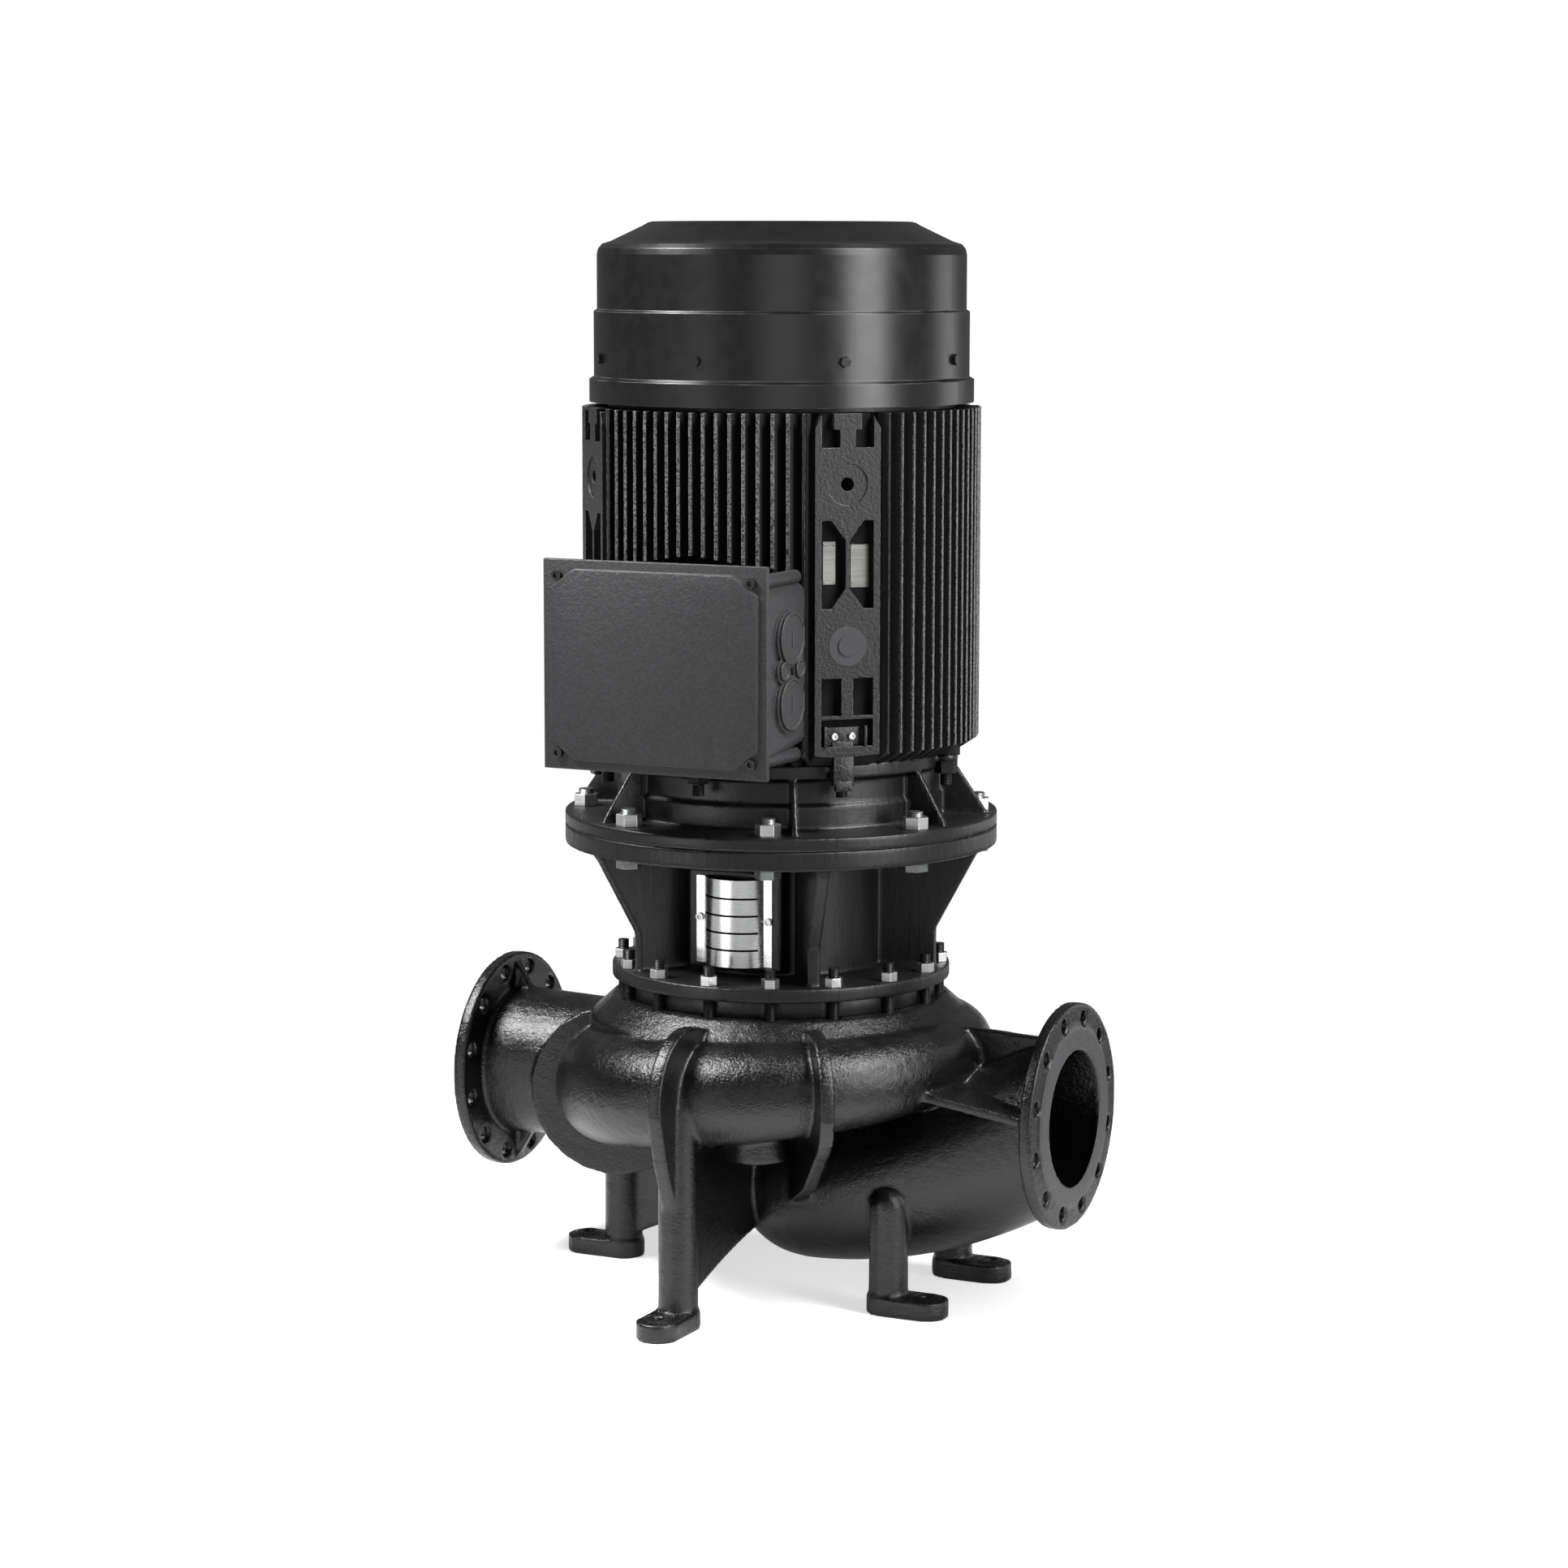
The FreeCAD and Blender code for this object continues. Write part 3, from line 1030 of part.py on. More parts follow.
def fin_root(height):
    """How far out the ground between the fins lies, at a height across the quadrant."""
    tube = math.sqrt(max(0, s.frame_tube ** 2 - height ** 2))
    strip_side = abs(height) + s.strip_half * math.sqrt(2)
    return max(tube, strip_side)


def quadrant_outline():
    """The finned outline of the quadrant that faces +X."""
    corner_out = (s.strip_face + s.strip_half) / math.sqrt(2)
    corner_side = (s.strip_face - s.strip_half) / math.sqrt(2)
    points = [V(corner_out, -corner_side, 0)]
    count = int(s.fin_side_count)
    for index in range(-count, count + 1):
        middle = index * s.fin_pitch
        low, high = middle - s.fin_thick / 2, middle + s.fin_thick / 2
        tip = math.sqrt(s.frame_fin ** 2 - middle ** 2)
        points += [V(fin_root(low), low, 0), V(tip, low, 0), V(tip, high, 0), V(fin_root(high), high, 0)]
    points.append(V(points[0].x, -points[0].y, 0))
    return points


def strip_cuts():
    """The recesses, the cut corners, the spot face and the plug seat of one strip, on the +X side."""
    floor = s.strip_face - s.strip_recess
    edge, top = s.strip_recess_half, frame_top + 1
    foot_low, foot_high = s.plate_recess_low + s.web_foot_rise, s.plate_recess_high - s.web_foot_rise
    recesses = [
        [(edge, s.top_recess_low), (s.top_web_half, s.top_recess_low), (s.top_web_half, s.top_lug_low),
         (s.top_lug_half, s.top_lug_low), (s.top_lug_half, top), (edge, top)],
        [(edge, s.plate_recess_low), (s.web_foot_half, s.plate_recess_low), (s.web_half, foot_low),
         (s.web_half, foot_high), (s.web_foot_half, s.plate_recess_high), (edge, s.plate_recess_high)],
        [(edge, s.lower_recess_low), (s.lower_web_half, s.lower_recess_low),
         (s.lower_web_half, s.lower_recess_high), (edge, s.lower_recess_high)],
        [(edge, s.clamp_recess_low), (0, s.clamp_recess_low), (0, s.clamp_recess_high),
         (edge, s.clamp_recess_high)],
    ]
    corner = [(s.strip_half + 1, top), (s.strip_half - s.corner_cut_width, top),
              (s.strip_half + 1, top - s.corner_cut_height)]
    cuts = []
    for corners, depth in [(recess, floor) for recess in recesses] + [(corner, s.frame_rim)]:
        for side in (1, -1):
            points = [V(depth, side * across, level) for across, level in corners]
            cuts.append(Part.Face(Part.makePolygon(points + points[:1])).extrude(V(60, 0, 0)))
    face = V(s.strip_face, 0, 0)
    spot = V(0, 0, s.spot_level)
    cuts.append(rod(s.spot_face, face + spot - V(2, 0, 0), face + spot + V(10, 0, 0)))
    cuts.append(rod(s.lift_thread, face + spot - V(32, 0, 0), face + spot))
    plug = V(0, 0, s.plug_level)
    cuts.append(rod(s.plug_radius, face + plug - V(s.plug_thick, 0, 0), face + plug + V(10, 0, 0)))
    return cuts


def frame_shape():
    """Motor frame: a finned tube with four strips, the bay of the terminal box and blocks for the shield studs."""
    points = []
    for quarter in range(4):
        turn = FreeCAD.Rotation(UP, quarter * 90)
        points += [turn.multVec(point) for point in quadrant_outline()]
    frame = Part.Face(Part.makePolygon(points + points[:1])).extrude(V(0, 0, s.frame_length))
    frame.translate(V(0, 0, frame_low))
    bevel = revolved([(s.frame_rim - 4, frame_low - 1), (340, frame_low - 1), (340, s.fin_bevel_high),
                      (s.frame_fin + 2, s.fin_bevel_high), (s.frame_rim - 4, s.fin_bevel_low)])
    bay = [V(-s.box_bay_half, -s.box_bay_depth, s.box_bay_low),
           V(s.box_bay_half, -s.box_bay_depth, s.box_bay_low),
           V(s.box_bay_half, -s.box_bay_depth, s.box_bay_high), V(0, -s.box_bay_depth, s.box_bay_ridge),
           V(-s.box_bay_half, -s.box_bay_depth, s.box_bay_high)]
    bay_tool = Part.Face(Part.makePolygon(bay + bay[:1])).extrude(V(0, -60, 0))
    frame = frame.cut([bevel, bay_tool])
    blocks = lug_ring(s.frame_bore + 6, s.ear_reach, s.ear_width, frame_low, frame_low + s.block_height,
                      s.ear_count)
    boss = box(-s.seat_boss_half, s.seat_boss_half, -s.box_bay_depth, -s.frame_bore + 4, s.seat_boss_low,
               s.seat_boss_high)
    frame = in_turn([frame] + blocks + [boss])
    cuts = [Part.makeCylinder(s.frame_bore, s.frame_length + 2, V(0, 0, frame_low - 1))]
    for azimuth in (45, 135, 225, 315):
        cuts += [turn_to(cut, azimuth) for cut in strip_cuts()]
    stud_hole = Part.makeCylinder(s.ear_bolt, s.block_height, V(0, -s.ear_circle, frame_low - 1))
    cuts += ring(stud_hole, s.ear_count)
    shield_hole = Part.makeCylinder(s.shield_screw, s.shield_screw_depth + 1,
                                    V(0, -s.shield_screw_circle, frame_top - s.shield_screw_depth))
    cuts += ring(shield_hole, s.shield_screw_count, 22.5)
    cuts.append(rod(s.wire_hole, V(0, -s.frame_bore + 10, s.board_level),
                    V(0, -s.box_bay_depth - 2, s.board_level)))
    for x, level in box_screw_spots():
        cuts.append(rod(s.lid_screw, V(x, -s.box_bay_depth - 1, level), V(x, -s.box_bay_depth + 18, level)))
    return solid_of(frame.cut(cuts))


def box_screw_spots():
    """Across and up places of the four screws that hold the terminal box to its seat."""
    across = s.seat_boss_half - 14
    return [(x, level) for x in (-across, across) for level in (s.seat_boss_low + 14, s.seat_boss_high - 14)]


feature("motor_frame", frame_shape())

plug_disc = bound_cylinder("plug_disc", s.plug_radius, s.plug_thick + 1, 0)
plug_blank = joined("plug_blank", plug_disc, bound_cylinder("plug_boss", s.plug_radius / 2, s.plug_thick + 3,
                                                            0))
copies_of("frame_plugs", plug_blank, [
    FreeCAD.Placement(around(s.strip_face - s.plug_thick, azimuth, s.plug_level),
                      FreeCAD.Rotation(UP, around(1, azimuth))) for azimuth in (45, 135, 225, 315)])


def rating_plate(offset, width, height, level):
    """A blank plate on the recessed ground of the front right strip."""
    ground = s.strip_face - s.strip_recess
    sheet_metal = box(ground, ground + s.plate_thick, offset - width / 2, offset + width / 2, level,
                      level + height)
    return turn_to(sheet_metal, 45)


group("rating_plates", [rating_plate(-s.small_plate_offset, s.small_plate_width, s.plate_height,
                                     s.plate_level),
                        rating_plate(s.large_plate_offset, s.large_plate_width, s.plate_height,
                                     s.plate_level - 5)])


def earth_clamp(azimuth):
    """Earth clamp in the lower recess of a strip: a bridge held by two hexagon screws."""
    ground = s.strip_face - s.strip_recess
    offset, level = s.clamp_offset, s.clamp_level
    pieces = []
    for side in (-1, 1):
        middle = offset * side
        pieces.append(box(ground, ground + s.clamp_thick, middle - 11, middle + 11, level - 13, level + 13))
        seat = V(ground + s.clamp_thick, middle, level)
        pieces.append(hexagon(s.clamp_screw_flats, 6, seat, V(1, 0, 0)))
        pieces.append(rod(s.lid_screw, seat, seat + V(9, 0, 0)))
    return [turn_to(fuse(pieces[index:index + 3]), azimuth) for index in (0, 3)]


group("earth_clamps", earth_clamp(45) + earth_clamp(-45))

# Inside the motor

core_high = s.core_low + s.core_height
turned("stator_core", rectangle(s.stator_bore, s.frame_bore, s.core_low, core_high))
turned("rotor_core", rectangle(s.core_shaft, s.stator_bore - s.air_gap, s.core_low, core_high))


def winding_ring(low, high):
    """An end winding with its four edges taken off."""
    soft = s.winding_edge
    inner, outer = s.winding_inner, s.winding_outer
    return revolved([(inner + soft, low), (outer - soft, low), (outer, low + soft), (outer, high - soft),
                     (outer - soft, high), (inner + soft, high), (inner, high - soft), (inner, low + soft)])


group("stator_windings", [winding_ring(s.core_low - s.winding_height, s.core_low),
                          winding_ring(core_high, core_high + s.winding_height)])


def end_ring(low, high, tip):
    """A short-circuit ring with small air paddles, on one end of the rotor core."""
    paddle = box(s.end_ring_inner + 8, s.end_ring_outer - 4, -3, 3, min(high, tip), max(low, tip))
    return fuse([revolved(rectangle(s.end_ring_inner, s.end_ring_outer, low, high))] + ring(paddle, 10))


group("rotor_end_rings", [
    end_ring(s.core_low - s.end_ring_height, s.core_low, s.core_low - s.end_ring_height - 24),
    end_ring(core_high, core_high + s.end_ring_height, core_high + s.end_ring_height + 24)])


def bearing(name, low):
    """The two races and the caged balls of a deep groove ball bearing."""
    high = low + s.bearing_width
    turned(name + "_outer_race", rectangle(s.bearing_outer - s.race_wall, s.bearing_outer, low, high))
    turned(name + "_inner_race", rectangle(s.bearing_seat, s.bearing_seat + s.race_wall, low, high))
    pitch_radius = (s.bearing_outer + s.bearing_seat) / 2
    ball_radius = (s.bearing_outer - s.bearing_seat) / 2 - s.race_wall
    middle = (low + high) / 2
    ball = Part.makeSphere(ball_radius, V(pitch_radius, 0, middle))
    cage = revolved(rectangle(pitch_radius - 3, pitch_radius + 3, middle - 8, middle + 8))
    feature(name + "_balls", in_turn([cage] + ring(ball, s.ball_count)))


bearing("drive_bearing", s.drive_bearing_low)
bearing("fan_bearing", s.fan_bearing_low)

cap_low = drive_bearing_high
housing_top = cap_low + s.cap_lip
cap_outer = s.bearing_outer + s.housing_wall
race_inner = s.bearing_outer - s.race_wall
turned("drive_bearing_cap", [
    (race_inner, cap_low), (s.bearing_outer, cap_low), (s.bearing_outer, housing_top),
    (cap_outer, housing_top),
    (cap_outer, housing_top + s.cap_thick), (s.cap_bore, housing_top + s.cap_thick),
    (s.cap_bore, housing_top),
    (race_inner, housing_top)])
drill(nodes[-1], "drive_cap_holes", s.cap_screw, s.cap_circle, housing_top + s.cap_thick, s.cap_thick,
      s.cap_screw_count)
turned("fan_bearing_cap", [
    (s.fan_cap_bore, fan_bearing_high), (cap_outer, fan_bearing_high),
    (cap_outer, fan_bearing_high + s.cap_thick),
    (s.fan_cap_bore, fan_bearing_high + s.cap_thick)])
drill(nodes[-1], "fan_cap_holes", s.cap_screw, s.cap_circle, fan_bearing_high + s.cap_thick, s.cap_thick,
      s.cap_screw_count)
cap_bolt = screw("cap_bolt", s.cap_screw, s.cap_screw_length + s.cap_thick, s.cap_screw_flats,
                 s.cap_screw * 1.4)
cap_places = (at_level(ring_places(s.cap_circle, s.cap_screw_count, 90), housing_top + s.cap_thick)
              + at_level(ring_places(s.cap_circle, s.cap_screw_count, 90), fan_bearing_high + s.cap_thick))
copies_of("bearing_cap_screws", cap_bolt, cap_places)


def fan_shield_shape():
    """Upper end shield: spigot in the frame, bearing housing, and the posts that carry the cowl."""
    plate_low = frame_top + s.fan_shield_thick
    body = revolved([
        (s.bearing_outer, s.fan_bearing_low), (s.fan_cap_bore + 10, s.fan_bearing_low),
        (s.fan_cap_bore + 10, s.fan_bearing_low - 8), (cap_outer, s.fan_bearing_low - 8),
        (cap_outer, frame_top + 6),
        (s.frame_bore - 8, frame_top + 6), (s.frame_bore - 8, frame_top - 6), (s.frame_bore, frame_top - 6),
        (s.frame_bore, frame_top), (s.fan_shield_rim, frame_top), (s.fan_shield_rim, plate_low),
        (s.fan_shield_rim - 12, plate_low + 8), (cap_outer, plate_low + 8), (cap_outer, fan_bearing_high),
        (s.bearing_outer, fan_bearing_high)])
    tube = revolved(rectangle(s.cowl_post_inner, s.cowl_second - s.cowl_wall, plate_low - 6,
                              s.cowl_screw_level + 12))
    bars = [bar for bar in ring(box(s.cowl_post_inner - 5, s.cowl_skirt + 5, -12, 12, plate_low - 6,
                                    s.cowl_screw_level + 12), s.cowl_screw_count)]
    posts = [tube.common(bar) for bar in bars]
    shield = in_turn([body] + posts)
    cap_hole = Part.makeCylinder(s.cap_screw, s.cap_screw_length,
                                 V(0, -s.cap_circle, fan_bearing_high - s.cap_screw_length))
    cowl_hole = rod(s.cowl_screw, V(s.cowl_post_inner + 4, 0, s.cowl_screw_level),
                    V(s.cowl_skirt, 0, s.cowl_screw_level))
    frame_hole = Part.makeCylinder(s.shield_screw, 40, V(0, -s.shield_screw_circle, frame_top - 1))
    head_room = Part.makeCylinder(s.shield_screw_room, 20, V(0, -s.shield_screw_circle, plate_low))
    return solid_of(shield.cut(ring(cap_hole, s.cap_screw_count) + ring(cowl_hole, s.cowl_screw_count)
                               + ring(frame_hole, s.shield_screw_count, 22.5)
                               + ring(head_room, s.shield_screw_count, 22.5)))


feature("fan_end_shield", fan_shield_shape())
shield_screw = screw("shield_screw", s.shield_screw, s.fan_shield_thick + s.shield_screw_depth,
                     s.shield_screw * 1.6,
                     s.shield_screw * 2, False)
copies_of("fan_shield_screws", shield_screw,
          at_level(ring_places(s.shield_screw_circle, s.shield_screw_count, 22.5),
                   frame_top + s.fan_shield_thick))

# Fan and cowl

def fan_shape():
    """Radial fan: hub, dished back plate and straight blades."""
    fan_top = s.fan_low + s.fan_height
    plate_edge = s.fan_radius - 10
    hub = revolved([
        (s.fan_seat, s.fan_low), (s.fan_hub + 8, s.fan_low), (plate_edge, s.fan_low + 14),
        (plate_edge, s.fan_low + 18), (s.fan_hub + 8, s.fan_low + 8), (s.fan_hub, fan_top),
        (s.fan_seat, fan_top)])
    blade = plate([(s.fan_hub - 3, s.fan_low + 6), (s.fan_radius - 12, s.fan_low + 14),
                   (s.fan_radius, fan_top - 4),
                   (s.fan_hub - 3, fan_top - 4)], s.fan_blade_thick, 90)
    return fuse([hub] + ring(blade, s.fan_blade_count))


feature("cooling_fan", fan_shape())


def cowl_shape():
    """Drawn fan cowl: stepped skirt, rounded shoulder, cone, and a ring grille over the intake."""
    wall = s.cowl_wall
    first = cowl_low + s.cowl_first_step
    second = cowl_low + s.cowl_second_step
    shoulder = cowl_low + s.cowl_shoulder
    outer = [(s.cowl_skirt, cowl_low), (s.cowl_skirt, first), (s.cowl_second, first + 4),
             (s.cowl_second, second),
             (s.cowl_third, second + 3), (s.cowl_third, shoulder - 20), (s.cowl_third - 2, shoulder - 11),
             (s.cowl_third - 8, shoulder - 4), (s.cowl_cone_foot, shoulder),
             (s.cowl_cone_top + 12, cowl_top - 6),
             (s.cowl_cone_top + 4, cowl_top - 1.5), (s.cowl_cone_top - 2, cowl_top), (s.intake, cowl_top)]
    inner = [(radius - wall, level) for radius, level in outer[:6]]
    inner += [(s.cowl_third - 5, shoulder - 13), (s.cowl_third - 10, shoulder - 7),
              (s.cowl_cone_foot - 1, shoulder - wall), (s.cowl_cone_top + 11, cowl_top - 6 - wall),
              (s.cowl_cone_top, cowl_top - 1 - wall), (s.intake, cowl_top - wall)]
    shell = revolved(outer + inner[::-1])
    hole = rod(s.cowl_screw, V(s.cowl_post_inner, 0, s.cowl_screw_level),
               V(s.cowl_skirt, 0, s.cowl_screw_level))
    shell = shell.cut(ring(hole, s.cowl_screw_count))
    wires = []
    pitch = s.intake / s.grille_ring_count
    for index in range(1, int(s.grille_ring_count)):
        wires.append(revolved(rectangle(index * pitch - 3, index * pitch + 3, cowl_top - 6, cowl_top - 1)))
    bars = ring(box(0, s.intake + 1, -3, 3, cowl_top - 8, cowl_top - wall), 8)
    return in_turn([shell, fuse(wires + bars)])


feature("fan_cowl", cowl_shape())
cowl_bolt = screw("cowl_bolt", s.cowl_screw, s.cowl_second - s.cowl_post_inner - 4, s.cowl_screw * 3.5,
                  s.cowl_screw * 1.4)
cowl_spots = []
for index in range(int(s.cowl_screw_count)):
    azimuth = index * 360.0 / s.cowl_screw_count
    cowl_spots += facing(around(1, azimuth), [around(s.cowl_second, azimuth, s.cowl_screw_level)])
copies_of("cowl_screws", cowl_bolt, cowl_spots)

# Terminal box on the front of the frame

def lid_outline(grow, y_from, y_to):
    """A slab of the lid outline with its corners taken off, grown or shrunk by a step."""
    half, low, high = s.lid_half + grow, s.lid_low - grow, s.lid_high + grow
    corner = s.lid_corner + grow * 0.6
    points = [V(-half + corner, y_from, low), V(half - corner, y_from, low), V(half, y_from, low + corner),
              V(half, y_from, high - corner), V(half - corner, y_from, high), V(-half + corner, y_from, high),
              V(-half, y_from, high - corner), V(-half, y_from, low + corner)]
    return Part.Face(Part.makePolygon(points + points[:1])).extrude(V(0, y_to - y_from, 0))


def lid_screw_spots():
    """Across and up places of the four lid screws."""
    across = s.lid_half - s.lid_screw_inset
    return [(x, level) for x in (-across, across)
            for level in (s.lid_low + s.lid_screw_inset, s.lid_high - s.lid_screw_inset)]


def entry_spots():
    """Place, opening radius and hexagon flats of each cable entry, all on the +X side of the box."""
    return [(V(s.box_half, -s.plug_column, s.large_plug_low), s.large_plug, 58),
            (V(s.box_half, -s.plug_column, s.large_plug_high), s.large_plug, 58),
            (V(s.box_half, -s.plug_column - 24, s.small_plug_level), s.small_plug, 22),
            (V(s.box_half, -s.plug_column + 26, s.small_plug_level), s.small_plug, 22)]


def box_shape():
    """Terminal box: a cast box with a sloping floor, entry bosses and corner bosses for the lid screws."""
    def slab(inset, back, front):
        points = [V(-s.box_half + inset, back, s.box_low + s.box_slope + inset),
                  V(-s.box_half + inset, front, s.box_low + inset),
                  V(-s.box_half + inset, front, s.box_high - inset),
                  V(-s.box_half + inset, back, s.box_high - inset)]
        return Part.Face(Part.makePolygon(points + points[:1])).extrude(V(2 * (s.box_half - inset), 0, 0))
    shell = slab(0, -s.box_back, -s.box_front)
    shell = shell.makeFillet(s.box_corner, [edge for edge in shell.Edges if edge.BoundBox.YLength > 100])
    flange = lid_outline(-s.box_flange_inset, -s.box_front + s.lid_thick, -s.box_front)
    bosses = [rod(radius + 6, place - V(s.box_wall, 0, 0), place + V(s.entry_rise, 0, 0))
              for place, radius, flats in entry_spots()]
    shell = in_turn([shell, flange] + bosses)
    hollow = slab(s.box_wall, -s.box_back - s.box_wall, -s.box_front - 1)
    shell = shell.cut(hollow)
    corners = []
    for x, level in lid_screw_spots():
        corners.append(rod(s.lid_screw * 2.5, V(x, -s.box_back - s.box_wall, level),
                           V(x, -s.box_front, level)))
    shell = in_turn([shell] + corners)
    cuts = [rod(radius, place - V(s.box_wall + 2, 0, 0), place + V(s.entry_rise + 2, 0, 0))
            for place, radius, flats in entry_spots()]
    for x, level in lid_screw_spots():
        cuts.append(rod(s.lid_screw, V(x, -s.box_front + s.lid_screw_depth, level),
                        V(x, -s.box_front - 1, level)))
    for x, level in box_screw_spots():
        cuts.append(rod(s.lid_screw, V(x, -s.box_back + 1, level), V(x, -s.box_back - s.box_wall - 1, level)))
    cuts.append(rod(s.wire_hole, V(0, -s.box_back + 1, s.board_level),
                    V(0, -s.box_back - s.box_wall - 1, s.board_level)))
    return solid_of(shell.cut(cuts))


feature("terminal_box", box_shape())
gasket_front = -s.box_front - s.lid_gasket


def lid_gasket_shape():
    """Flat gasket round the mouth of the box."""
    sheet_metal = lid_outline(-s.box_flange_inset, -s.box_front, gasket_front)
    mouth = box(-s.box_half + s.box_wall, s.box_half - s.box_wall, gasket_front - 1, -s.box_front + 1,
                s.box_low + s.box_wall, s.box_high - s.box_wall)
    holes = [rod(s.lid_screw, V(x, -s.box_front + 1, level), V(x, gasket_front - 1, level))
             for x, level in lid_screw_spots()]
    return solid_of(sheet_metal.cut([mouth] + holes))


feature("terminal_box_gasket", lid_gasket_shape())


def lid_shape():
    """Lid of the terminal box: a plate with cut corners and a raised panel, with four screw holes."""
    front = gasket_front - s.lid_thick
    lid = lid_outline(0, gasket_front, front)
    panel = lid_outline(-s.lid_panel_inset, front, front - s.lid_panel_thick)
    lid = fuse([lid, panel])
    cuts = []
    for x, level in lid_screw_spots():
        cuts.append(rod(s.lid_screw, V(x, gasket_front + 1, level), V(x, front - 10, level)))
        cuts.append(rod(s.lid_screw * 2.6, V(x, front, level), V(x, front - 10, level)))
    return solid_of(lid.cut(cuts))


feature("terminal_box_lid", lid_shape())
lid_bolt = screw("lid_bolt", s.lid_screw, s.lid_thick + s.lid_gasket + s.lid_screw_depth, s.lid_screw * 1.9,
                 s.lid_screw * 1.5, False)
copies_of("lid_screws", lid_bolt, facing(V(0, -1, 0), [
    V(x, gasket_front - s.lid_thick, level) for x, level in lid_screw_spots()]))
box_bolt = screw("box_bolt", s.lid_screw, s.box_wall + 16, s.lid_screw * 1.8, s.lid_screw * 1.5, False)
copies_of("terminal_box_screws", box_bolt, facing(V(0, -1, 0), [
    V(x, -s.box_back - s.box_wall, level) for x, level in box_screw_spots()]))


def entry_plugs():
    """Blanking plugs of the cable entries: a threaded body, a collar and a hexagon."""
    plugs = []
    for place, radius, flats in entry_spots():
        seat = place + V(s.entry_rise, 0, 0)
        plugs.append(fuse([
            rod(radius, seat - V(s.entry_rise + s.box_wall, 0, 0), seat),
            rod(radius + 4, seat, seat + V(4, 0, 0)),
            hexagon(flats, 6 + radius * 0.25, seat + V(4, 0, 0), V(1, 0, 0))]))
    return plugs


group("entry_plugs", entry_plugs())
board_back = -s.box_back - s.box_wall


def board_shape():
    """Terminal board: a moulded block on two feet, with barriers between the studs."""
    front = board_back - s.board_thick
    base = box(-s.board_half, s.board_half, front, board_back, s.board_level + s.wire_hole + 6,
               s.board_level + s.wire_hole + 6 + s.board_height)
    fins = []
    for index in range(4):
        x = -s.board_half + 3 + index * (2 * s.board_half - 6) / 3
        fins.append(box(x - 3, x + 3, front - 8, front + 1, s.board_level + s.wire_hole + 6,
                        s.board_level + s.wire_hole + 6 + s.board_height))
    return fuse([base] + fins).cut([rod(s.board_stud, V(x, front - 1, level), V(x, board_back - 4, level))
                                    for x, level in board_stud_spots()])


def board_stud_spots():
    """Across and up places of the six terminal studs."""
    pitch = (2 * s.board_half - 6) / 3
    first = s.board_level + s.wire_hole + 6 + s.board_height / 4
    return [(pitch * column, first + row * s.board_height / 2) for column in (-1, 0, 1) for row in (0, 1)]


feature("terminal_board", board_shape())


def board_studs():
    """Terminal studs with their nuts."""
    front = board_back - s.board_thick
    studs = []
    for x, level in board_stud_spots():
        start = V(x, board_back - 4, level)
        studs.append(fuse([rod(s.board_stud, start, V(x, front - 22, level)),
                           hexagon(s.board_stud * 3.4, 6, V(x, front, level), V(0, -1, 0))]))
    return studs


group("terminal_studs", board_studs())

# Check and export

document.recompute()
for item in document.Objects:
    for state in ("Invalid", "Error"):
        if state in item.State:
            raise RuntimeError(f"{item.Label}: {state}")
os.makedirs("parts", exist_ok=True)
for item in nodes:
    shape = item.Shape
    if shape.isNull() or not shape.isValid() or shape.Volume <= 0:
        raise RuntimeError(f"{item.Label}: no sound shape")
    shape.exportStep(f"parts/{item.Label}.step")
print(len(nodes), "nodes")
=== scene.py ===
import logging
import math
from dataclasses import dataclass
from enum import Enum
from typing import Callable, Optional, Sequence, Union

import bmesh
import bpy
from mathutils import Matrix, Vector


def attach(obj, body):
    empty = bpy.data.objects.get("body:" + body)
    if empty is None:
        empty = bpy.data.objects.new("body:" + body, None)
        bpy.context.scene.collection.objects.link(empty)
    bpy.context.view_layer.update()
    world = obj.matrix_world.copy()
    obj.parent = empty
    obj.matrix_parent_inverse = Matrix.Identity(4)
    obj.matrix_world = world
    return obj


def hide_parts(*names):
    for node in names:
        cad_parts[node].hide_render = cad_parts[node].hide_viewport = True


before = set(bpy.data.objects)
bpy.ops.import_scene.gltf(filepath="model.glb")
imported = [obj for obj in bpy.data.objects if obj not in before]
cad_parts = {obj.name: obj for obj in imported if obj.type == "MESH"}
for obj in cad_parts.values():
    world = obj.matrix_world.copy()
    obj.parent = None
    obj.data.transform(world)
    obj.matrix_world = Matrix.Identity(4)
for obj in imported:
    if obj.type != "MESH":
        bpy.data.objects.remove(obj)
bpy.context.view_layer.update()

STATOR = "stator"
ROTOR = "rotor"

Colour = tuple[float, float, float, float]
Place = tuple[float, float, float]
Feed = Union[bpy.types.NodeSocket, float, Sequence[float]]

logging.basicConfig(level=logging.INFO, format="%(message)s")
log = logging.getLogger("pump")


def metres(millimetres: float) -> float:
    """Millimetres as metres."""
    return millimetres / 1000.0


def span(low: float, high: float) -> tuple[float, float]:
    """Two distances in millimetres as metres."""
    return metres(low), metres(high)


def linear(red: int, green: int, blue: int) -> Colour:
    """A colour written in screen values, 0 to 255, as the linear colour the shaders take, by the sRGB curve.

    Args:
        red, green, blue: the screen values.

    Returns:
        The linear colour with a full alpha.
    """
    def channel(value: int) -> float:
        """One channel as a linear share."""
        share = value / 255
        return share / 12.92 if share <= 0.04045 else ((share + 0.055) / 1.055) ** 2.4
    return (channel(red), channel(green), channel(blue), 1.0)


def scaled(colour: Colour, factor: float) -> Colour:
    """A colour made lighter or darker by a factor."""
    return tuple(channel * factor for channel in colour[:3]) + (1.0,)


# Shader groups


